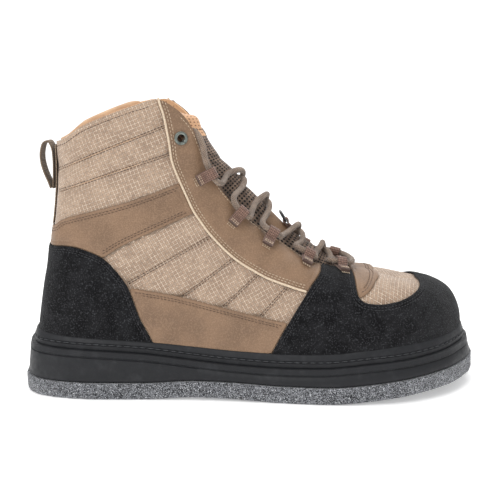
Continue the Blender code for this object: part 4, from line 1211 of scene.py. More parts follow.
def felt_finish():
    """Needled felt: pale and dark fibres matted together."""
    finish = Finish("needled_felt", 0.97, Sheen_Weight=0.3, Specular_IOR_Level=0.2)
    fibre = finish.noise(0.0009, 3.0)
    lump = finish.noise(0.0026, 3.0)
    mixed = finish.sum("ADD", finish.sum("MULTIPLY", fibre, 0.75), finish.sum("MULTIPLY", lump, 0.25))
    dark = finish.blend(finish.step(mixed, 0.44, 0.56), paint(44, 45, 49), paint(128, 130, 135))
    pale = finish.step(finish.noise(0.0006, 2.0), 0.58, 0.66)
    finish.colour(finish.blend(pale, dark, paint(226, 228, 232)))
    finish.relief(finish.sum("ADD", mixed, finish.noise(0.0005, 2.0)), 0.0009)
    return finish.material


def webbing_finish(name, ground, thread, shade):
    """Woven webbing: ribs across and along the strip, with painted shade where threads dip."""
    finish = Finish(name, 0.78, Sheen_Weight=0.2)
    spread, across, along = finish.cloth()
    ribs = finish.waves(across, 0.0012)
    picks = finish.waves(along, 0.0014)
    weave = finish.sum("MULTIPLY", ribs, picks)
    base = finish.mottled(0.0012, 2.0, 0.35, 0.65, ground, thread, spread)
    # Painted shade: the weave's dips are darkened toward the shade colour.
    finish.colour(finish.blend(finish.step(weave, 0.0, 0.5, 0.85, 0.0), base, shade))
    finish.relief(weave, 0.0004)
    return finish.material


def lace_finish():
    """Round braided cord: two sets of strands that cross as they wind round it, with painted shade between
    them.
    """
    finish = Finish("braided_lace", 0.8, Sheen_Weight=0.25)
    _, around, along = finish.cloth()
    first = finish.waves(finish.sum("ADD", around, along), 0.0016)
    second = finish.waves(finish.sum("SUBTRACT", around, along), 0.0016)
    weave = finish.sum("MULTIPLY", first, second)
    base = finish.mottled(0.006, 3.0, 0.3, 0.7, paint(128, 109, 94), paint(160, 139, 121))
    # Painted shade: the gaps between the strands are darkened.
    finish.colour(finish.blend(finish.step(weave, 0.0, 0.45, 0.65, 0.0), base, paint(64, 52, 43)))
    finish.relief(weave, 0.0004)
    return finish.material


def tongue_finish():
    """Open knitted mesh with dark pinholes, and a tan perforated lining over the top and the back."""
    finish = Finish("tongue_mesh", 0.82, Sheen_Weight=0.2)
    spread, across, along = finish.cloth()
    hole = finish.step(finish.cells(0.0019, 0.0, spread), 0.24, 0.40, 1.0, 0.0)
    mesh = finish.mottled(0.004, 2.0, 0.35, 0.65, paint(104, 86, 74), paint(146, 124, 107), spread)
    mesh = finish.blend(hole, mesh, paint(20, 16, 14))
    wide = finish.step(finish.cells(0.0028, 0.0, spread), 0.16, 0.28, 1.0, 0.0)
    lining = finish.blend(wide, paint(226, 178, 136), paint(140, 92, 62))
    top = finish.step(along, TONGUE_LINING_START, TONGUE_LINING_START + 0.001)
    back = finish.step(across, 0.5, 0.51)
    # Painted shade: on the top the lining shows only within 19 mm of the middle, and beyond that the darker
    # mesh colour stands in for the shaded lining at the top's sides.
    centre = finish.step(finish.sum("ABSOLUTE", across), 0.019, 0.020, 1.0, 0.0)
    shown = finish.sum("MAXIMUM", finish.sum("MULTIPLY", top, centre), back)
    finish.colour(finish.blend(shown, mesh, lining))
    finish.relief(finish.step(hole, 0.0, 1.0, 1.0, 0.0), 0.00035)
    return finish.material


def plain_cloth_finish(name, ground, thread, roughness=0.85):
    """Close cloth: a fine even weave and soft changes of tone."""
    finish = Finish(name, roughness, Sheen_Weight=0.25)
    dots = finish.cells(0.0012)
    base = finish.mottled(0.008, 3.0, 0.3, 0.7, ground, thread)
    finish.colour(finish.blend(finish.step(dots, 0.3, 0.8, 0.0, 0.3), base, ground))
    finish.relief(finish.sum("ADD", dots, finish.noise(0.0008, 2.0)), 0.00015)
    return finish.material


def inner_finish():
    """Perforated inner lining, bright at the collar, with painted shade that turns it near black down inside
    the boot.
    """
    finish = Finish("inner_lining", 0.9)
    height = finish.add("ShaderNodeSeparateXYZ", {"Vector": finish.place()}).outputs["Z"]
    dots = finish.step(finish.cells(0.0028, 0.0), 0.16, 0.3, 1.0, 0.0)
    bright = finish.blend(dots, paint(214, 170, 130), paint(150, 106, 76))
    # Painted shade: from 180 mm down to 150 mm the lining fades to near black, as if in the shadow deep inside
    # the boot.
    finish.colour(finish.blend(finish.step(height, 0.150, 0.180), paint(40, 31, 26), bright))
    finish.relief(dots, 0.0003)
    return finish.material


def thread_finish(name, ground, shade):
    """Sewing thread: a tight twist."""
    finish = Finish(name, 0.7)
    twist = finish.noise(0.0005, 1.0)
    finish.colour(finish.blend(finish.step(twist, 0.4, 0.6), ground, shade))
    finish.relief(twist, 0.0001)
    return finish.material


def metal_finish(name, ground, dull, metallic, low, high):
    """Plated or coated metal: soft smears in its gloss and a few dull spots."""
    finish = Finish(name, low, Metallic=metallic)
    smear = finish.noise(0.002, 4.0)
    finish.colour(finish.blend(finish.step(smear, 0.45, 0.8), ground, dull))
    finish.rough(finish.step(smear, 0.3, 0.7, low, high))
    finish.relief(smear, 0.00002)
    return finish.material


# Relief of the upper

def segment_distance(points, start, end):
    """Distance from points, seen from the side, to a straight line between two places."""
    flat = points[..., [0, 2]]
    start, end = np.array(start), np.array(end)
    run = end - start
    share = np.clip(((flat - start) @ run) / (run @ run), 0, 1)
    return np.linalg.norm(flat - start - share[..., None] * run, axis=-1)


def side_place(x, z):
    """A place of the side view given in millimetres from the heel and the floor."""
    return (float(from_heel(0.0)) + x * MM, z * MM)


def creases(points):
    """Height of the upper's flex creases: bell curves of the distance to listed lines."""
    height = np.zeros(points.shape[:-1])
    for start, end, depth, width in CREASES:
        away = segment_distance(points, side_place(*start), side_place(*end))
        height -= depth * MM * np.exp(-(away / (width * MM)) ** 2)
    return height


def quilting(points):
    """Height of the quilted cloth: a sharp trough in a wide soft one along each channel."""
    height = np.zeros(points.shape[:-1])
    for start, end in QUILTS:
        away = segment_distance(points, side_place(*start), side_place(*end))
        sharp = 0.4 * np.exp(-(away / QUILT_WIDTH) ** 2)
        soft = np.exp(-(away / (3.5 * QUILT_WIDTH)) ** 2)
        height -= QUILT_DEPTH * (sharp + soft)
    return height


def quilt_distance(points):
    """Signed distance to the nearest channel, positive above it, seen from the side."""
    nearest = np.full(len(points), np.inf)
    signed = np.full(len(points), np.inf)
    for start, end in QUILTS:
        first, last = np.array(side_place(*start)), np.array(side_place(*end))
        run = last - first
        away = segment_distance(points, first, last)
        above = run[0] * (points[:, 2] - first[1]) - run[1] * (points[:, 0] - first[0]) > 0
        signed = np.where(away < nearest, np.where(above, away, -away), signed)
        nearest = np.minimum(nearest, away)
    return signed


def cloth_places(points, side):
    """Place of each point on the flat cloth: along the boot, or round its heel, and up from the floor.

    On the vamp, up is measured from the boot's middle plane. The cloth's grid leans on each part.
    """
    row = int(CLOTH_RISE * SKIN_RISES)
    walked = walked_along(points[:, row])
    near = np.searchsorted(points[:, row, 0], float(from_heel(HEEL_CLOTH_MATCH)))
    around = walked[:, None] - walked[near] + points[near, row, 0]
    past = points[..., 0] - float(from_heel(HEEL_CLOTH_START))
    share = np.clip(past / (HEEL_CLOTH_BLEND * SOLE_LENGTH), 0, 1)
    across = around * (1 - share) + points[..., 0] * share
    vamp = points[..., 0] > float(from_heel(VAMP_START))
    up = np.where(vamp, points[..., 1] * side, points[..., 2])
    along, height = columns(BAND_FOOT)
    ankle = points[..., 2] > np.interp(points[..., 0], from_heel(along), height * COLLAR_HEIGHT)
    turn = np.radians(np.where(vamp, VAMP_LEAN, np.where(ankle, ANKLE_LEAN, QUARTER_LEAN)))
    leaned = [across * np.cos(turn) + up * np.sin(turn), up * np.cos(turn) - across * np.sin(turn)]
    return np.stack(leaned, axis=-1)


def skin_side(side):
    """The upper's face on one side: rows of point, outward direction and cloth place, and triangles."""
    station, rise = np.meshgrid(np.linspace(0, 1, SKIN_STATIONS + 1), np.linspace(0, 1, SKIN_RISES + 1),
                                indexing="ij")
    points = upper_point(station, rise, side)
    normal = upper_normal(station, rise, side)
    normal[station[:, -1] >= CLOSED_STATION, -1, 1] = 0.0
    normal[0, :, 1] = 0.0
    normal[-1, :, 1] = 0.0
    normal = unit(normal)
    points = points + normal * creases(points)[..., None]
    rows = np.concatenate([points, normal, cloth_places(points, side)], axis=-1).reshape(-1, 8)
    squares = quads(SKIN_STATIONS + 1, SKIN_RISES + 1)
    faces = np.concatenate([squares[:, [0, 1, 2]], squares[:, [0, 2, 3]]])
    corner = rows[faces[:, 0], :3]
    cross = np.cross(rows[faces[:, 1], :3] - corner, rows[faces[:, 2], :3] - corner)
    if np.sum(cross * rows[faces[:, 0], 3:6]) < 0:
        faces = faces[:, ::-1]
    return rows, faces


def joined_skin(first, second):
    """Two skins as one."""
    return np.concatenate([first[0], second[0]]), np.concatenate([first[1], second[1] + len(first[0])])


def level_points(rows, value, inside, cut):
    """Where the edges of cut triangles cross a level.

    Gives the triangles with their lone corner first, the rows at the crossings, and for each triangle the
    numbers of the crossings on its two cut edges.
    """
    alone = inside[cut].sum(axis=1) == 1
    lone = (inside[cut] == alone[:, None]).argmax(axis=1)
    cut = cut[np.arange(len(cut))[:, None], (lone[:, None] + np.arange(3)) % 3]
    pairs = np.sort(np.concatenate([cut[:, [0, 1]], cut[:, [0, 2]]]), axis=1)
    edges, which = np.unique(pairs, axis=0, return_inverse=True)
    share = (value[edges[:, 0]] / (value[edges[:, 0]] - value[edges[:, 1]]))[:, None]
    fresh = rows[edges[:, 0]] * (1 - share) + rows[edges[:, 1]] * share
    return cut, fresh, which.ravel().reshape(2, -1)


def split_faces(rows, faces, level, inside_only=False):
    """Cut triangles where the last column of their rows crosses a level, and drop those below it if asked."""
    value = rows[:, -1] - level
    value = np.where(np.abs(value) < CUT_SNAP, 0.0, value)
    inside = value >= 0
    count = inside[faces].sum(axis=1)
    kept = [faces[count == 3]]
    if not inside_only:
        kept.append(faces[count == 0])
    for number in (1, 2):
        cut = faces[count == number]
        if not len(cut):
            continue
        cut, fresh, which = level_points(rows, value, inside, cut)
        fresh[:, -1] = level
        first, second = which + len(rows)
        if number == 1 or not inside_only:
            kept.append(np.stack([cut[:, 0], first, second], axis=1))
        if number == 2 or not inside_only:
            kept.append(np.stack([first, cut[:, 1], cut[:, 2]], axis=1))
            kept.append(np.stack([first, cut[:, 2], second], axis=1))
        rows = np.concatenate([rows, fresh])
        value = np.concatenate([value, np.zeros(len(fresh))])
        inside = np.concatenate([inside, np.ones(len(fresh), bool)])
    return rows, np.concatenate(kept)


def trimmed(rows, faces):
    """The same skin without the rows that no triangle uses."""
    used, fresh = np.unique(faces, return_inverse=True)
    return rows[used], fresh.reshape(faces.shape)


def inside_distance(points, outline):
    """Distance from places seen from the side to a closed outline, positive inside it."""
    flat = points[:, [0, 2]]
    starts = np.asarray(outline, float)
    nearest = np.full(len(flat), np.inf)
    inside = np.zeros(len(flat), bool)
    for first, last in zip(starts, np.roll(starts, -1, axis=0)):
        run = last - first
        if np.abs(run).max() < 1e-9:
            continue
        share = np.clip(((flat - first) @ run) / (run @ run), 0, 1)
        nearest = np.minimum(nearest, np.linalg.norm(flat - first - share[:, None] * run, axis=1))
        spans = (first[1] > flat[:, 1]) != (last[1] > flat[:, 1])
        slope = run[0] / run[1] if run[1] else 0.0
        inside ^= spans & (flat[:, 0] < first[0] + (flat[:, 1] - first[1]) * slope)
    return np.where(inside, nearest, -nearest)


def hole_distance(points, side):
    """Distance from points to the rim of the eyelet's hole on one side, positive outside it."""
    station, rise = EYELET_PLACE
    centre = upper_point(station, rise, side)
    axis = upper_normal(station, rise, side)
    offset = points - centre
    radial = np.linalg.norm(offset - (offset @ axis)[:, None] * axis, axis=1)
    return np.where(np.abs(offset @ axis) > 20 * MM, 1.0, radial - EYELET_BORE / 2 - EYELET_WALL - 0.2 * MM)


def walled(name, rows, faces, height, wall, finishes):
    """A piece from a skin moved outward by a height, with a wall under it. finishes: face, then inside."""
    rows, faces = trimmed(np.column_stack([rows, height]), faces)
    points = rows[:, :3] + rows[:, 3:6] * rows[:, -1:]
    item = make_mesh(name, points, faces.tolist(), finishes[0], rows[:, 6:8])
    mend(item, sharp=70)
    for finish in finishes[1:]:
        item.data.materials.append(finish)
    shell = item.modifiers.new("wall", "SOLIDIFY")
    shell.thickness = wall
    shell.offset = -1.0
    shell.use_even_offset = False
    shell.material_offset = len(finishes) - 1
    shell.material_offset_rim = len(finishes) - 1
    return settle(item, 60)


def contours(rows, faces, level):
    """Ordered runs of rows where the last column crosses a level."""
    value = rows[:, -1] - level
    inside = value >= 0
    count = inside[faces].sum(axis=1)
    cut = faces[(count == 1) | (count == 2)]
    _, points, which = level_points(rows, value, inside, cut)
    beside = {}
    for one_end, other_end in which.T.tolist():
        beside.setdefault(one_end, []).append(other_end)
        beside.setdefault(other_end, []).append(one_end)
    left = set(beside)
    runs = []
    for start in sorted(left, key=lambda node: (len(beside[node]), node)):
        if start not in left:
            continue
        run = [start]
        while run[-1] in left:
            left.discard(run[-1])
            run += [node for node in beside[run[-1]] if node in left][:1]
        runs.append(points[run])
    return runs


def hem_rows(rows, faces, tables, thickness):
    """Stitch places on an overlay beside the edges of the given tables. rows end with the distance inward."""
    lines = [edge_line(table, 160) for table in tables]
    found = []
    for level in HEM_ROWS:
        for run in contours(rows, faces, level):
            near = np.full(len(run), np.inf)
            for line in lines:
                offset = run[:, None, [0, 2]] - line[None]
                near = np.minimum(near, np.linalg.norm(offset, axis=2).min(axis=1))
            keep = (near < level + 0.8 * MM) & (run[:, 2] > rand_height(run[:, 0]) + 2 * MM)
            height = overlay_height(np.full(len(run), level), thickness)
            found += stitch_runs(run[:, :3] + run[:, 3:6] * height[:, None], run[:, 3:6], keep)
    return found


def stitch_runs(points, normals, keep):
    """Stitch places along the kept parts of a line."""
    marks = np.flatnonzero(np.diff(np.concatenate([[False], keep, [False]]).astype(int)))
    found = []
    for first, last in zip(marks[::2], marks[1::2]):
        if last - first > 3:
            found.append(stitch_frames(points[first:last], normals[first:last], SEAM_STITCH[0]))
    return found


def overlay_height(away, thickness):
    """Height of an overlay's face: rounded at its edge, with a shallow channel where it is stitched."""
    edge = np.sqrt(1 - (1 - np.clip(away / ROUNDING, 0, 1)) ** 2)
    channel = HEM_DEPTH * np.exp(-((away - HEM_PLACE) / HEM_WIDTH) ** 2)
    return GAP + thickness * (OVERLAY_RIM + (1 - OVERLAY_RIM) * edge) - channel


def overlay(name, skin, outline, thickness, finish, tables=(), hole_side=0):
    """A layer sewn on the upper, trimmed to its outline, and its stitch places."""
    rows, faces = skin
    away = inside_distance(rows[:, :3], outline)
    found = hem_rows(np.column_stack([rows, away]), faces, tables, thickness)
    if hole_side:
        away = np.minimum(away, hole_distance(rows[:, :3], hole_side))
    return overlay_from(name, rows, faces, away, thickness, finish), found


def overlay_from(name, rows, faces, away, thickness, finish):
    """A layer sewn on the upper, from the distance to its edge at each row."""
    rows, faces = split_faces(np.column_stack([rows, away]), faces, 0.0, True)
    rows, faces = trimmed(rows, faces)
    for level in (0.25 * MM, ROUNDING, HEM_PLACE - HEM_WIDTH, HEM_PLACE, HEM_PLACE + HEM_WIDTH):
        rows, faces = split_faces(rows, faces, level)
    height = overlay_height(rows[:, -1], thickness)
    wall = OVERLAY_RIM * thickness + 0.5 * GAP
    return walled(name, rows[:, :8], faces, height, wall, (finish,))


# Lines and stitches on the upper

class Ground:
    """The outer pieces as one surface, to lay seams and stitches on."""

    def __init__(self, items):
        points, faces, self.names = [], [], []
        for item in items:
            base = len(points)
            places = np.empty(3 * len(item.data.vertices), np.float32)
            item.data.vertices.foreach_get("co", places)
            points += places.reshape(-1, 3).tolist()
            faces += [[base + index for index in face.vertices] for face in item.data.polygons]
            self.names += [item.name] * len(item.data.polygons)
        self.tree = BVHTree.FromPolygons(points, faces)

    def lay(self, line, side, *names):
        """Where a line seen from the side meets the surface, with its outward directions."""
        found, normals = [], []
        for x, z in line:
            start = Vector((x, side * 0.2, z))
            hit, normal, face, _ = self.tree.ray_cast(start, Vector((0, -side, 0)))
            if hit is None or self.names[face] not in names or abs(normal.y) < 0.08:
                continue
            found.append(hit[:])
            normals.append(normal[:])
        return np.array(found).reshape(-1, 3), np.array(normals).reshape(-1, 3)


def tube_mesh(name, path, radius, finish, around=10, ends=True, closed=False):
    """A tube along a path: a circle carried square to it, closed at its ends by shrinking rings."""
    path = np.asarray(path, float)
    if closed:
        heading = np.roll(path, -1, axis=0) - np.roll(path, 1, axis=0)
    else:
        heading = np.gradient(path, axis=0)
    heading = unit(heading)
    over = np.empty_like(path)
    over[0] = np.cross(heading[0], (0.31, 0.22, 0.93))
    for index in range(1, len(path)):
        over[index] = over[index - 1] - heading[index] * np.dot(over[index - 1], heading[index])
        over[index] /= np.linalg.norm(over[index])
    over[0] /= np.linalg.norm(over[0])
    out = np.cross(heading, over)
    turn = 2 * math.pi * np.arange(around) / around
    size = np.broadcast_to(np.asarray(radius, float), (len(path),)).copy()
    centres = path
    if ends and not closed:
        caps = np.array([0.05, 0.6, 0.9])
        reach = np.sqrt(1 - caps ** 2) * size[0]
        before = path[0] - heading[0] * reach[:, None]
        beyond = path[-1] + heading[-1] * reach[::-1, None]
        centres = np.vstack([before, path, beyond])
        over = np.vstack([np.repeat(over[:1], 3, axis=0), over, np.repeat(over[-1:], 3, axis=0)])
        out = np.vstack([np.repeat(out[:1], 3, axis=0), out, np.repeat(out[-1:], 3, axis=0)])
        size = np.concatenate([size[0] * caps, size, size[-1] * caps[::-1]])
    ring = over[:, None] * np.cos(turn)[None, :, None] + out[:, None] * np.sin(turn)[None, :, None]
    points = centres[:, None] + ring * size[:, None, None]
    walked = walked_along(centres)
    flat = np.stack(np.broadcast_arrays(turn[None, :] * size.max(), walked[:, None]), axis=-1)
    faces = quads(len(centres), around, closed, True)
    faces = [face[::-1] for face in faces.tolist()]
    if ends and not closed:
        faces.append(list(range(around)))
        faces.append(list(range((len(centres) - 1) * around, len(centres) * around))[::-1])
    item = make_mesh(name, points, faces, finish, flat)
    return mend(item, outward=True, sharp=80)


def rope(points, count):
    """Evenly spaced points along a smooth curve, whose pace follows the square root of each gap."""
    rows = np.asarray(points, float)
    gaps = np.sqrt(np.linalg.norm(np.diff(rows, axis=0), axis=1))
    walked = np.concatenate([[0], np.cumsum(gaps)])
    pull = np.gradient(rows, walked, axis=0)
    fine = np.linspace(0, walked[-1], 40 * len(rows))
    low = np.clip(np.searchsorted(walked, fine, side="right") - 1, 0, len(rows) - 2)
    width = (walked[low + 1] - walked[low])[:, None]
    share = (fine[:, None] - walked[low][:, None]) / width
    rise = share * share * (3 - 2 * share)
    dense = (rows[low] * (1 - rise) + rows[low + 1] * rise
             + share * (1 - share) ** 2 * width * pull[low]
             + share * share * (share - 1) * width * pull[low + 1])
    lengths = walked_along(dense)
    wanted = np.linspace(0, lengths[-1], count)
    return read_along(wanted, lengths, dense)


def stitch_frames(found, normals, pitch):
    """Places a pitch apart along a laid line, with the way along it and outward."""
    steps = np.linalg.norm(np.diff(found, axis=0), axis=1)
    walked = np.concatenate([[0], np.cumsum(steps)])
    wanted = np.arange(pitch / 2, walked[-1], pitch)
    centres = read_along(wanted, walked, found)
    out = read_along(wanted, walked, normals)
    along = read_along(wanted + pitch / 4, walked, found) - read_along(wanted - pitch / 4, walked, found)
    along /= np.maximum(np.linalg.norm(along, axis=1, keepdims=True), 1e-9)
    out -= along * np.sum(out * along, axis=1, keepdims=True)
    out = unit(out)
    keep = steps.max() < 20 * MM if len(steps) else False
    return (centres, along, out) if keep else (centres[:0], along[:0], out[:0])


def stitches(name, rows, stitch, finish):
    """Many small stitches as one mesh: a spindle, flat underneath, laid at each place."""
    length, radius = stitch[1:]
    along_shares = np.array([-0.5, -0.3, 0.0, 0.3, 0.5])
    swell = np.array([0.25, 0.85, 1.0, 0.85, 0.25])
    turn = 2 * math.pi * np.arange(5) / 5
    shape = np.stack([
        np.repeat(along_shares * length, 5),
        np.outer(swell, np.cos(turn)).ravel() * radius,
        np.outer(swell, np.sin(turn)).ravel() * radius * 0.8,
    ], axis=1)
    faces = quads(5, 5, False, True).tolist()
    faces += [[4, 3, 2, 1, 0], [20, 21, 22, 23, 24]]
    centres = np.concatenate([row[0] for row in rows])
    along = np.concatenate([row[1] for row in rows])
    out = np.concatenate([row[2] for row in rows])
    over = np.cross(out, along)
    points = (centres[:, None] + along[:, None] * shape[None, :, :1] + over[:, None] * shape[None, :, 1:2]
              + out[:, None] * (shape[None, :, 2:] + 0.35 * radius))
    count = len(centres)
    base = len(shape) * np.arange(count)[:, None, None]
    sizes = np.array(faces[:-2])[None] + base
    ends = np.array(faces[-2:])[None] + base
    joined = sizes.reshape(-1, 4).tolist() + ends.reshape(-1, 5).tolist()
    return mend_round(make_mesh(name, points, joined, finish))


def mend_round(item):
    """Turn the faces of a mesh of many closed pieces outward."""
    form = bmesh.new()
    form.from_mesh(item.data)
    bmesh.ops.recalc_face_normals(form, faces=form.faces[:])
    form.to_mesh(item.data)
    form.free()
    item.data.shade_smooth()
    return item


# Pieces of the sole

def sole_piece(name, sections, finish, joined=False, rough=0.0, seed=1):
    """A layer of the sole: rings of the outline moved inward, each at its own height, with woolly sides."""
    lateral = np.linspace(0, 1, SOLE_STATIONS + 1)
    points = []
    for inset, height in sections:
        plan = np.concatenate([sole_rail(lateral, -1, inset), sole_rail(lateral[-2:0:-1], 1, inset)])
        points.append(np.column_stack([plan, height(plan[:, 0])]))
    points = np.stack(points)
    around = points.shape[1]
    if rough:
        outward = points - np.roll(points, 1, axis=1)
        outward = np.stack([outward[..., 1], -outward[..., 0], 0 * outward[..., 0]], axis=-1)
        outward = unit(outward)
        fine, coarse = FELT_LUMPS
        bumps = grain(points, fine * MM, seed) + 0.6 * grain(points, coarse * MM, seed + 1)
        inner = np.ones((len(points), 1))
        inner[0] = inner[-1] = 0.3
        points = points + outward * (bumps * rough * inner)[..., None]
    faces = quads(len(sections), around, joined, True)[:, ::-1].tolist()
    if not joined:
        for first, upward in ((0, False), ((len(sections) - 1) * around, True)):
            near = np.arange(0, SOLE_STATIONS)
            far = (around - near) % around
            strip = np.stack([near, near + 1, (around - near - 1) % around, far], axis=1) + first
            if not upward:
                strip = strip[:, ::-1]
            faces += [list(dict.fromkeys(face)) for face in strip.tolist()]
    item = make_mesh(name, points, faces, finish)
    return mend(item, outward=True, sharp=38)


def felt_tufts(name, finish):
    """Loose fibres that stand out of the felt's side: thin bent spikes at random places round it."""
    draw = np.random.default_rng(7)
    count = TUFT_COUNT
    station = draw.uniform(0, 1, count)
    side = draw.integers(0, 2, count) * 2 - 1
    up = draw.uniform(0.04, 0.98, count)
    plan = np.where((side < 0)[:, None], sole_rail(station, -1, 0.2 * MM), sole_rail(station, 1, 0.2 * MM))
    inner = np.where((side < 0)[:, None], sole_rail(station, -1, MM), sole_rail(station, 1, MM))
    outward = unit(plan - inner)
    root = np.column_stack([plan, tread_height(plan[:, 0]) + up * FELT_THICKNESS])
    lean = np.column_stack([outward, np.zeros(count)]) + TUFT_LEAN * draw.normal(0, 1, (count, 3)) * [1, 1, 0.7]
    lean = unit(lean)
    tip = root + lean * draw.uniform(*TUFT_LENGTH, (count, 1)) * MM
    tip[:, 2] = np.maximum(tip[:, 2], 0.0001)
    wide = np.cross(lean, draw.normal(0, 1, (count, 3)))
    wide *= TUFT_WIDTH * MM / np.linalg.norm(wide, axis=1, keepdims=True)
    other = np.cross(lean, wide)
    points = np.stack([root + wide, root - 0.5 * wide + other, root - 0.5 * wide - other, tip], axis=1)
    base = 4 * np.arange(count)[:, None, None]
    faces = (np.array([[0, 1, 3], [1, 2, 3], [2, 0, 3], [2, 1, 0]])[None] + base).reshape(-1, 3)
    return mend_round(make_mesh(name, points, faces.tolist(), finish))


# Strips of webbing

def strip_mesh(name, path, wide, thickness, width, finish, corner=0.35):
    """Webbing carried along a path: a rounded flat section, wide in one direction and thin in the other."""
    path = np.asarray(path, float)
    heading = unit(np.gradient(path, axis=0))
    wide = np.broadcast_to(np.asarray(wide, float), path.shape)
    wide = wide - heading * np.sum(wide * heading, axis=1, keepdims=True)
    wide = unit(wide)
    out = np.cross(heading, wide)
    turn = np.linspace(0, 2 * math.pi, 29)[:-1]
    reach = np.sign(np.cos(turn)) * np.abs(np.cos(turn)) ** corner * width / 2
    rise = np.sign(np.sin(turn)) * np.abs(np.sin(turn)) ** corner * thickness / 2
    points = path[:, None] + wide[:, None] * reach[None, :, None] + out[:, None] * rise[None, :, None]
    walked = walked_along(path)
    flat = np.stack(np.broadcast_arrays(reach[None, :] + np.where(rise > 0, 0, width)[None, :],
                                        walked[:, None]), axis=-1)
    item = make_mesh(name, points, tube_faces(len(path), len(turn)), finish, flat)
    return mend(item, outward=True, sharp=70)


def place_path(path, seat, along, out):
    """A path in a plane, laid from a seat with its first number along and its second outward."""
    path = np.asarray(path, float)
    return seat + path[:, :1] * along + path[:, 1:2] * out


def smooth_path(path, count, turns=3):
    """A path with evenly spaced points, its corners eased more with each turn."""
    path = np.asarray(path, float)
    walked = walked_along(path)
    wanted = np.linspace(0, walked[-1], count)
    dense = read_along(wanted, walked, path)
    for _ in range(turns):
        dense[1:-1] = (dense[:-2] + 2 * dense[1:-1] + dense[2:]) / 4
    return dense


def lace_loops(finish, thread):
    """Ten webbing loops, each folded round the lace, with a stitched cross at its root."""
    rows = []
    path = folded_path(LOOP_LENGTH, loop_eye(), WEBBING_THICKNESS)
    for label, side in SIDES:
        for number in range(len(LOOP_STATIONS)):
            name = "lace_loop_%s_%d" % (label, number + 1)
            seat, down, forward, out = loop_seat(number, side)
            line = place_path(smooth_path(path, 70), seat, down, out)
            piece = strip_mesh("webbing_" + name, line, forward, 0.96 * WEBBING_THICKNESS, LOOP_WIDTH, finish)
            dress(piece, "boot", "webbing", name)
            top = seat + out * (2 * WEBBING_THICKNESS + GAP)
            face = seat - out * GAP
            for reach, level in ((0.8, top), (0.92, top), (1.07, face), (1.2, face)):
                ends = np.array([-0.42, 0.42]) * LOOP_WIDTH
                found = level + down * LOOP_LENGTH * reach + forward * ends[:, None]
                rows.append(stitch_frames(found, np.array([out, out]), LOOP_STITCH[0]))
    dress(stitches("loop_stitches", rows, LOOP_STITCH, thread), "boot", "webbing")


# Tongue, lining and metal

def tongue_piece(finish):
    """The padded tongue as one closed form: a loop round its section, carried from the vamp to its top.

    The section's two faces meet where the across coordinate is 1, and the whole thins to nothing at the top.
    """
    top_places = TONGUE_TAPER + TONGUE_TIP * np.sin(np.linspace(0.12, 1, 9) * math.pi / 2)
    across = np.linspace(-1, 1, 53)
    half = TONGUE_THICKNESS / 2
    length, wide = TONGUE_CLOTH
    outer, flat = [], []
    for place in np.concatenate([np.linspace(0, TONGUE_TAPER, 90), top_places]):
        face = tongue_point(place, across)
        normal = tongue_normal(place, across)
        thin = math.sqrt(max(1 - max((place - TONGUE_TAPER) / TONGUE_TIP, 0) ** 2, 0.0004))
        swell = TONGUE_SWELL * math.exp(-((place - TONGUE_SWELL_PLACE) / TONGUE_SWELL_LENGTH) ** 2) * thin
        full = np.sqrt(np.clip(1 - np.abs(across) ** 6, 0, 1)) * thin
        waves = np.abs(math.sin(place * TONGUE_PADS * math.pi)) ** 0.5
        pad = TONGUE_PAD * np.exp(-(across / 0.33) ** 4) * waves * (place < TONGUE_PAD_END)
        lift = full * (half + pad) - half + swell * np.exp(-(across / 0.5) ** 4)
        top = face + normal * lift[:, None]
        low = face - normal * (full * half * 0.98 + half)[:, None]
        outer.append(np.concatenate([top, low[-2:0:-1]]))
        reach = across * wide
        reach = np.concatenate([reach, 1 + reach[-2:0:-1]])
        flat.append(np.column_stack([reach, np.full(len(reach), place * length)]))
    points = np.array(outer)
    item = make_mesh("padded_tongue", points, tube_faces(*points.shape[:2]), finish, np.array(flat))
    return mend(item, outward=True, sharp=75)


def tongue_cords(finish):
    """Sewn ribs across the tongue between its mesh panels."""
    rows = []
    for place in np.arange(1, TONGUE_PADS) / TONGUE_PADS:
        across = np.linspace(-0.42, 0.42, 30)
        for shift in (-0.006, 0.006):
            rows.append(stitch_frames(tongue_point(place + shift, across, 0.15 * MM),
                                      tongue_normal(place + shift, across), TONGUE_STITCH[0]))
    return stitches("tongue_stitches", rows, TONGUE_STITCH, finish)


def collar_piece(finish):
    """The padded collar lining: a loop up behind the wall, over its edge and down inside with a swell."""
    up = np.linspace(COLLAR_DOWN, 1, 14)
    turn = np.linspace(math.pi, 0, 9)[1:-1]
    down = np.linspace(1, COLLAR_DOWN, 18)
    back = UPPER_WALL + GAP
    half = LINING_THICKNESS / 2
    swell = np.sin(np.clip((1 - down) / 0.42, 0, 1) * math.pi) * COLLAR_SWELL
    rise = np.concatenate([up, np.ones(len(turn)), down])
    over = back + half + half * np.cos(turn)
    lift = -np.concatenate([np.full(len(up), back), over, back + 2 * half + swell])
    extra = np.concatenate([
        LINING_RISE * (up > 0.98),
        LINING_RISE + half * 0.8 * np.sin(turn),
        LINING_RISE * (down > 0.98),
    ])
    points = []
    for station in np.linspace(-COLLAR_REACH, COLLAR_REACH, 121):
        side = -1 if station <= 0 else 1
        at = np.full(len(rise), abs(station))
        full = math.sqrt(max(1 - max((abs(station) / COLLAR_REACH - 0.9) / 0.1, 0) ** 2, 0.01))
        ring = upper_point(at, rise, side, -back + (lift + back) * full)
        ring[:, 2] += extra * full
        points.append(ring)
    points = np.array(points)
    item = make_mesh("padded_collar", points, tube_faces(*points.shape[:2]), finish)
    return mend(item, outward=True, sharp=75)


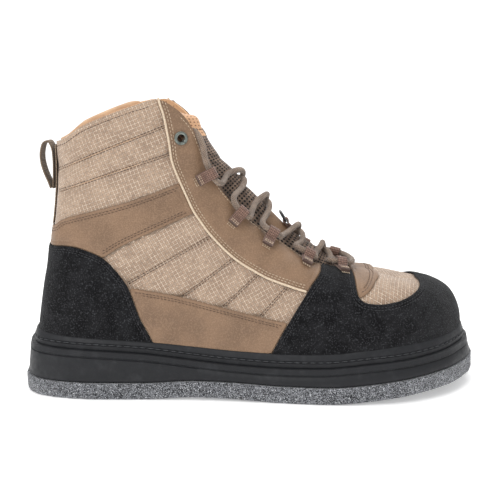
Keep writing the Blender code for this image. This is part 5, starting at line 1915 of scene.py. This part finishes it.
def eyelet_piece(label, side, finish):
    """A metal eyelet: a rolled rim and a barrel, turned about the line through its hole."""
    station, rise = EYELET_PLACE
    face = 2 * GAP + LEATHER_THICKNESS
    seat = upper_point(station, rise, side, face)
    along, over, out = frame_from(upper_normal(station, rise, side), (1, 0, 0))
    bore = EYELET_BORE / 2
    wide = EYELET_DIAMETER / 2
    depth = face + UPPER_WALL + GAP
    roll = np.linspace(0, math.pi, 9)
    middle_rim = (bore + wide) / 2
    around_rim = (wide - bore) / 2
    profile = [(middle_rim + around_rim * math.cos(turn), GAP + EYELET_RIM * math.sin(turn) ** 0.7)
               for turn in roll]
    profile += [(bore, -depth), (bore + EYELET_WALL, -depth), (bore + EYELET_WALL, GAP * 0.9)]
    profile = np.array(profile)
    turn = 2 * math.pi * np.arange(SPIN_STEPS) / SPIN_STEPS
    ring = along * np.cos(turn)[:, None] + over * np.sin(turn)[:, None]
    points = seat + ring[:, None] * profile[None, :, :1] + out * profile[None, :, 1:2]
    item = make_mesh("turned_eyelet_" + label, points, quads(SPIN_STEPS, len(profile), True, True), finish)
    return mend(item, outward=True, sharp=60)


def tab_pieces(leather, webbing, wire, thread):
    """The leather tab with its folded edge, the webbing keeper and the wire ring."""
    start, end = TAB_PLACES
    places = np.linspace(start, end, 25)
    across = np.linspace(-TAB_ACROSS, TAB_ACROSS, 31)
    edge = np.minimum(np.abs(np.abs(across) - TAB_ACROSS) * 38 * MM, 2 * MM) / (2 * MM)
    rows = []
    for place in places:
        away = min(place - start, end - place) * 250 * MM
        fold = np.minimum(np.minimum(away / (2 * MM), 1), edge)
        lift = 2 * GAP + TAB_THICKNESS * (0.35 + 0.65 * np.sin(fold * math.pi / 2) ** 0.6)
        top = tongue_point(place, across) + tongue_normal(place, across) * lift[:, None]
        low = tongue_point(place, across, 2 * GAP)
        rows.append(np.concatenate([top, low[::-1]]))
    points = np.array(rows)
    tab = mend(make_mesh("folded_tab", points, tube_faces(*points.shape[:2]), leather), outward=True)
    dress(tab, "boot", "leather", "tongue_tab")
    seat = tongue_point(KEEPER_PLACE, 0.0, 3 * GAP + TAB_THICKNESS)
    out = tongue_normal(KEEPER_PLACE, 0.0)
    down = tongue_point(KEEPER_PLACE - 0.02, 0.0) - tongue_point(KEEPER_PLACE, 0.0)
    down[1] = 0
    out[1] = 0
    down, _, out = frame_from(out, down)
    eye = RING_WIRE / 2 + GAP + WEBBING_THICKNESS / 2
    path = place_path(smooth_path(folded_path(KEEPER_LENGTH, eye, WEBBING_THICKNESS), 60), seat, down, out)
    keeper = strip_mesh("webbing_keeper", path, (0, 1, 0), 0.96 * WEBBING_THICKNESS, KEEPER_WIDTH, webbing)
    dress(keeper, "boot", "webbing", "ring_keeper")
    hinge = seat + out * (eye + WEBBING_THICKNESS / 2)
    lean = -down * math.cos(RING_TILT) + out * math.sin(RING_TILT)
    corners = np.array(ring_path())
    dense = curve_at(corners, np.linspace(0, len(corners), 8 * len(corners), endpoint=False), True)
    line = hinge + dense[:, :1] * lean + dense[:, 1:2] * np.array([0, 1, 0])
    ring = tube_mesh("wire_ring", line, RING_WIRE / 2, wire, 16, False, True)
    dress(ring, "ring", "ring_wire", "tongue_ring")
    rows = []
    for place in (start + 0.006, end - 0.006):
        line = np.linspace(-TAB_ACROSS, TAB_ACROSS, 20) * 0.86
        found = tongue_point(place, line, 2 * GAP + TAB_THICKNESS)
        rows.append(stitch_frames(found, tongue_normal(place, line), TAB_STITCH[0]))
    dress(stitches("tab_stitches", rows, TAB_STITCH, thread), "boot", "webbing")


# Lace

def lace_mesh(name, path, finish):
    """A round cord along a path, whose finish carries the braid, and its length."""
    length = np.linalg.norm(np.diff(path, axis=0), axis=1).sum()
    return tube_mesh(name, path, LACE_DIAMETER / 2, finish, 20), length


def lace_end_points(side):
    """The given route of a lace end, from the first loop over the edge and down inside."""
    passage = loop_passage(0, side)
    leaving = (passage[0] - passage[1]) / np.linalg.norm(passage[0] - passage[1])
    points = [passage[0] + leaving * GAP, passage[0] + leaving * LACE_STRAIGHT]
    points += [upper_point(station, rise, side, lift * MM) for station, rise, lift in LACE_END]
    return np.array(points)


def lace_pieces(finish):
    """The two ends of the lace, which are cords, and the lace between them."""
    for label, side in SIDES:
        path = smooth_path(lace_end_points(side), LACE_END_POINTS, LACE_END_EASING)
        piece, length = lace_mesh("tucked_lace_" + label, path, finish)
        dress(piece, "boot", "lace_cord", "lace_end_" + label)
    path = smooth_path(rope(lace_route(), LACE_POINTS), LACE_POINTS, LACE_EASING)
    dress(lace_mesh("braided_lace", path, finish)[0], "boot", "lace_cord", "lace")


# Floor, light and camera

def stage(finish):
    """A pale floor that runs up into a wall far behind, as one smooth sheet."""
    turn = np.linspace(0, math.pi / 2, 24)
    profile = np.concatenate([
        [(-4.0, 0.0), (1.5, 0.0)],
        np.stack([2.0 + np.sin(turn) * 1.0, 1.0 - np.cos(turn)], axis=1),
        [(3.0, 5.0)],
    ])
    rows = 12
    across = np.linspace(-5, 5, rows)
    points = np.stack([
        np.broadcast_to(across[:, None], (rows, len(profile))),
        np.broadcast_to(profile[None, :, 0], (rows, len(profile))),
        np.broadcast_to(profile[None, :, 1], (rows, len(profile))) - FLOOR_DROP,
    ], axis=-1)
    floor = make_mesh("floor", points, quads(rows, len(profile)), finish)


def lamp(name, place, target, size, power):
    """A soft square light that faces a target."""
    data = bpy.data.lights.new(name, "AREA")
    data.size = size
    data.energy = power
    item = bpy.data.objects.new(name, data)
    item.location = place
    item.rotation_euler = (Vector(target) - Vector(place)).to_track_quat("-Z", "Y").to_euler()
    bpy.context.scene.collection.objects.link(item)


def camera():
    """The camera at the photo's place: level with the collar and pitched down a little."""
    data = bpy.data.cameras.new("camera")
    data.sensor_width = 36
    data.lens = CAMERA_LENS
    item = bpy.data.objects.new("camera", data)
    item.location = CAMERA_PLACE
    item.rotation_euler = (math.radians(90 - CAMERA_PITCH), 0, 0)
    bpy.context.scene.collection.objects.link(item)
    bpy.context.scene.camera = item


def light_world():
    """An even white surround."""
    world = bpy.data.worlds.new("studio")
    world.use_nodes = True
    world.node_tree.nodes["Background"].inputs["Color"].default_value = (1, 1, 1, 1)
    world.node_tree.nodes["Background"].inputs["Strength"].default_value = WORLD_LIGHT
    bpy.context.scene.world = world


# Seams and stitches of the upper

def quilt_rows(ground):
    """Two rows of stitches along each quilted channel of the cloth."""
    rows = []
    for start, end in QUILTS:
        first, last = np.array(side_place(*start)), np.array(side_place(*end))
        heading = (last - first) / np.linalg.norm(last - first)
        aside = np.array([-heading[1], heading[0]])
        for side in (-1, 1):
            for shift in QUILT_ROWS:
                line = first + (last - first) * np.linspace(-0.08, 1.08, 90)[:, None] + aside * shift
                found, normals = ground.lay(line, side, "cloth_upper")
                if len(found) > 3:
                    rows.append(stitch_frames(found, normals, QUILT_STITCH[0]))
    return rows


def rib_rows(start, end, rise, lift, pitch):
    """A row of stitches on each side, at one rise of the ribs between two stations."""
    station = np.linspace(start, end, SEAM_STEPS)
    level = np.full(SEAM_STEPS, rise)
    rows = []
    for side in (-1, 1):
        found = upper_point(station, level, side, np.full(SEAM_STEPS, lift))
        rows.append(stitch_frames(found, upper_normal(station, level, side), pitch))
    return rows


def piping_pieces(ground, finish):
    """A round piping along the rear edge of each facing."""
    for label, side in SIDES:
        found, normals = ground.lay(edge_line(PIPING, 220, PIPING_INSET), side, "leather_eyestay_" + label)
        steady = smooth_path(found, 200)
        out = smooth_path(normals, 200)
        piece = tube_mesh("piping_" + label, steady + out * PIPING_LIFT, PIPING_RADIUS, finish, 10)
        dress(piece, "boot", "webbing")


# The dressed boot

def cloth_piece(skin, finish):
    """The cloth wall of the upper, with its quilted channels and the holes of the eyelets."""
    rows, faces = skin
    open_at = np.minimum(hole_distance(rows[:, :3], -1), hole_distance(rows[:, :3], 1))
    rows, faces = split_faces(np.column_stack([rows, open_at]), faces, 0.0, True)
    rows = np.column_stack([rows[:, :8], quilt_distance(rows[:, :3])])
    for level in QUILT_CUTS:
        rows, faces = split_faces(rows, faces, level)
    height = quilting(rows[:, :3])
    piece = walled("cloth_upper", rows[:, :8], faces, height, UPPER_WALL, (finish, inner_finish()))
    return dress(piece, "boot", "ripstop", "upper")


def overlay_pieces(skins, leather, metal, seams, threads):
    """The layers sewn on the upper and the eyelets. Their stitch places are added to the seams."""
    black, brown, pale = threads
    outlines = overlay_outlines()
    nap = nap_finish()
    nap_layer = ("nap_", WRAP_THICKNESS, nap, "black_microfibre")
    leather_layer = ("leather_", LEATHER_THICKNESS, leather, "leather")
    items = []
    for name, layer, tables, thread in (
            ("forefoot_wrap", nap_layer, (WRAP_REAR, WINDOW_EDGE), black),
            ("heel_counter", nap_layer, (COUNTER_EDGE,), black),
            ("ankle_band", leather_layer, (BAND_TOP, BAND_FOOT), brown),
            ("vamp_patch", leather_layer, (PATCH_FRONT,), brown)):
        prefix, thickness, finish, slot = layer
        piece, found = overlay(prefix + name, skins[0], outlines[name], thickness, finish, tables)
        items.append(dress(piece, "boot", slot, name))
        seams[thread] += found
    for label, side in SIDES:
        for name, tables, thread, hole_side in (
                ("eyestay", (PIPING,), pale, side),
                ("side_band", (SIDE_BAND_TOP,), brown, 0)):
            piece, found = overlay("leather_%s_%s" % (name, label), skins[side], outlines[name],
                                   LEATHER_THICKNESS, leather, tables, hole_side)
            items.append(dress(piece, "boot", "leather", name + "_" + label))
            seams[thread] += found
        dress(eyelet_piece(label, side, metal), "boot", "eyelet_metal", "eyelet_" + label)
    return items


def heel_line():
    """X and Y of the middle of the heel."""
    heel = float(from_heel(0.0))
    return heel, float(middle(heel))


def backstrap_piece(skin, finish):
    """The webbing up the back of the heel, from the ankle band's edge to the collar."""
    heel, centre = heel_line()
    foot = BAND_TOP[1][1] * COLLAR_HEIGHT + GAP
    top = UPPER_SECTIONS[0][4] * COLLAR_HEIGHT - BACKSTRAP_SHY
    rows, faces = skin
    away = np.minimum(BACKSTRAP_WIDTH / 2 - np.abs(rows[:, 1] - centre), heel + COLLAR_WIDTH - rows[:, 0])
    away = np.minimum(away, np.minimum(rows[:, 2] - foot, top - rows[:, 2]))
    strap = overlay_from("webbing_backstrap", rows, faces, away, WEBBING_THICKNESS, finish)
    return dress(strap, "boot", "webbing", "backstrap")


def pull_loop_piece(finish):
    """The webbing loop behind the collar, laid on the backstrap at both its feet."""
    heel, centre = heel_line()
    stand = float(step_height(heel)) + GAP
    high = UPPER_SECTIONS[0][4] * COLLAR_HEIGHT
    face = 3 * GAP + WEBBING_THICKNESS * 1.5
    path = []
    for back, up in PULL_LOOP:
        z = PULL_FOOT + up * PULL_HEIGHT
        rise = min((z - stand) / (high - stand), 1.0)
        path.append((float(upper_point(0.0, rise, -1)[0]) - face - back * PULL_DEPTH, centre, z))
    pull = strip_mesh("webbing_pull_loop", rope(path, 80), (0, 1, 0), WEBBING_THICKNESS, PULL_WIDTH, finish)
    dress(pull, "boot", "webbing", "pull_loop")


def felt_levels():
    """Rings of the felt plate from its underside up: inset and height rule."""
    levels = [(FELT_EDGE, tread_height), (FELT_EDGE * 0.4, above(tread_height, 0.3 * MM))]
    levels += [(0.0, above(tread_height, share * FELT_THICKNESS)) for share in np.linspace(0.08, 0.93, 14)]
    return levels + [(FELT_EDGE * 0.4, above(tread_height, FELT_THICKNESS))]


def sidewall_levels():
    """Rings of the sidewall, with the groove round its side, and of the footbed's edge on top."""
    base = above(above(tread_height, FELT_THICKNESS), GAP)
    groove = SIDEWALL_INSET + SIDEWALL_DRAFT * 0.75
    drafted = SIDEWALL_INSET + SIDEWALL_DRAFT
    return [
        (SIDEWALL_INSET + FELT_EDGE, base),
        (SIDEWALL_INSET + FELT_EDGE * 0.3, above(base, 0.5 * FELT_EDGE)),
        (SIDEWALL_INSET, above(base, 2 * FELT_EDGE)),
        (groove, above(step_height, -GROOVE_DROP - GROOVE_DEPTH)),
        (groove + GROOVE_DEPTH, above(step_height, -GROOVE_DROP - 0.2 * MM)),
        (groove + GROOVE_DEPTH, above(step_height, -GROOVE_DROP + 0.2 * MM)),
        (groove, above(step_height, -GROOVE_DROP + GROOVE_DEPTH)),
        (drafted, above(step_height, -2 * FELT_EDGE)),
        (drafted + 0.3 * FELT_EDGE, above(step_height, -0.4 * FELT_EDGE)),
        (drafted + FELT_EDGE, step_height),
        (UPPER_INSET + UPPER_WALL, step_height),
    ]


def rand_levels():
    """Rings round the rand's section, with the groove of its stitches."""
    stand = above(step_height, GAP)
    inner = UPPER_INSET - GAP
    return [
        (RAND_INSET, stand),
        (RAND_INSET, above(stand, RAND_HEIGHT * 0.30)),
        (RAND_INSET + GROOVE_DEPTH, above(stand, RAND_HEIGHT * 0.36)),
        (RAND_INSET + GROOVE_DEPTH, above(stand, RAND_HEIGHT * 0.44)),
        (RAND_INSET + RAND_DRAFT * 0.2, above(stand, RAND_HEIGHT * 0.50)),
        (RAND_INSET + RAND_DRAFT * 0.7, above(rand_height, -FELT_EDGE * 1.6)),
        (RAND_INSET + RAND_DRAFT, above(rand_height, -FELT_EDGE * 0.6)),
        (RAND_INSET + RAND_DRAFT + FELT_EDGE, rand_height),
        (inner, above(rand_height, -FELT_EDGE / 2)),
        (inner, stand),
    ]


def rand_rows():
    """Long stitches in the rand's groove, all round the boot."""
    station = np.linspace(0, 1, 500)
    rows = []
    for side in (-1, 1):
        plan = sole_rail(station, side, RAND_INSET + 0.5 * GROOVE_DEPTH)
        inward = sole_rail(station, side, RAND_INSET + MM)
        found = np.column_stack([plan, step_height(plan[:, 0]) + GAP + RAND_HEIGHT * 0.40])
        out = np.column_stack([plan - inward, np.zeros(len(station))])
        rows.append(stitch_frames(found, unit(out), RAND_STITCH[0]))
    return rows


def upper_pieces(leather, rosy, strap, metal, threads):
    """The upper with its overlays, seams, piping and lace loops."""
    black, brown, pale = threads
    piping = thread_finish("piping_cloth", paint(226, 208, 184), paint(196, 174, 148))
    skins = {side: skin_side(side) for side in (-1, 1)}
    skins[0] = joined_skin(skins[-1], skins[1])
    seams = {thread: [] for thread in threads}
    items = [cloth_piece(skins[0], ripstop_finish())]
    items += overlay_pieces(skins, leather, metal, seams, threads)
    items.append(backstrap_piece(skins[0], strap))
    ground = Ground(items)
    seams[pale] += rib_rows(*THROAT_SEAM, GAP + LEATHER_THICKNESS, SEAM_STITCH[0])
    for name, thread, slot in (
            ("facing_stitches", pale, "webbing"),
            ("band_stitches", brown, "webbing"),
            ("hem_stitches", black, "black_microfibre")):
        dress(stitches(name, seams[thread], SEAM_STITCH, thread), "boot", slot)
    dress(stitches("quilt_stitches", quilt_rows(ground), QUILT_STITCH, brown), "boot", "webbing")
    piping_pieces(ground, piping)
    lace_loops(rosy, pale)


def tongue_and_collar(leather, rosy, threads):
    """The tongue with its ribs, tab and ring, and the padded collar with the seam of its rim."""
    _, brown, pale = threads
    lining = plain_cloth_finish("collar_lining_cloth", paint(196, 160, 128), paint(214, 180, 146))
    wire = metal_finish("black_wire", paint(18, 18, 20), paint(34, 34, 36), 0.0, 0.12, 0.3)
    tongue = dress(tongue_piece(tongue_finish()), "boot", "tongue_mesh", "tongue")
    dress(tongue_cords(brown), "boot", "tongue_mesh")
    tab_pieces(leather, rosy, wire, pale)
    collar = dress(collar_piece(lining), "boot", "lining", "collar_lining")
    rim = rib_rows(*RIM_SEAM, 0.0, RIM_STITCH[0])
    dress(stitches("rim_stitches", rim, RIM_STITCH, brown), "boot", "ripstop")


def sole_pieces():
    """The felt with its loose fibres, the sidewall, the rand with its stitches, and the insole's finish."""
    rubber = rubber_finish()
    felt = felt_finish()
    grey = thread_finish("grey_thread", paint(66, 67, 70), paint(40, 41, 44))
    dress(sole_piece("felt_plate", felt_levels(), felt, rough=FELT_BUMP), "boot", "felt", "felt_outsole")
    dress(felt_tufts("felt_fibres", felt), "boot", "felt")
    dress(sole_piece("moulded_sidewall", sidewall_levels(), rubber), "boot", "rubber", "midsole")
    dress(sole_piece("moulded_rand", rand_levels(), rubber, joined=True), "boot", "rubber", "rand")
    dress(stitches("rand_stitches", rand_rows(), RAND_STITCH, grey), "boot", "rubber")
    bed = plain_cloth_finish("insole_cloth", paint(70, 64, 60), paint(92, 84, 78))
    for slot in bpy.data.objects["insole"].material_slots:
        slot.material = bed


def studio():
    """The camera, the white surround, the floor and the lights."""
    camera()
    light_world()
    bpy.context.scene.view_settings.view_transform = "Standard"
    floor = Finish("floor_paper", 0.9, Emission_Color=(1, 1, 1, 1), Emission_Strength=FLOOR_GLOW)
    floor.colour(floor.blend(floor.noise(0.5, 1.0), paint(250, 250, 250), paint(252, 252, 252)))
    stage(floor.material)
    for name, place, size, power in LAMPS:
        lamp(name, place, LIGHT_TARGET, size, power)


def main():
    """Dress the boot."""
    leather = leather_finish()
    # The third colour of each webbing is the painted shade in its weave's dips.
    rosy = webbing_finish("rosy_webbing", paint(150, 116, 100), paint(122, 92, 78), paint(58, 40, 34))
    strap = webbing_finish("pale_webbing", paint(150, 128, 104), paint(128, 106, 84), paint(74, 60, 48))
    metal = metal_finish("eyelet_plating", paint(128, 134, 128), paint(74, 78, 74), 1.0, 0.28, 0.45)
    threads = (
        thread_finish("black_thread", paint(30, 30, 32), paint(58, 58, 62)),
        thread_finish("brown_thread", paint(96, 74, 60), paint(70, 52, 42)),
        thread_finish("pale_thread", paint(214, 196, 172), paint(176, 154, 130)),
    )
    lace_pieces(lace_finish())
    upper_pieces(leather, rosy, strap, metal, threads)
    tongue_and_collar(leather, rosy, threads)
    pull_loop_piece(strap)
    sole_pieces()
    studio()


main()
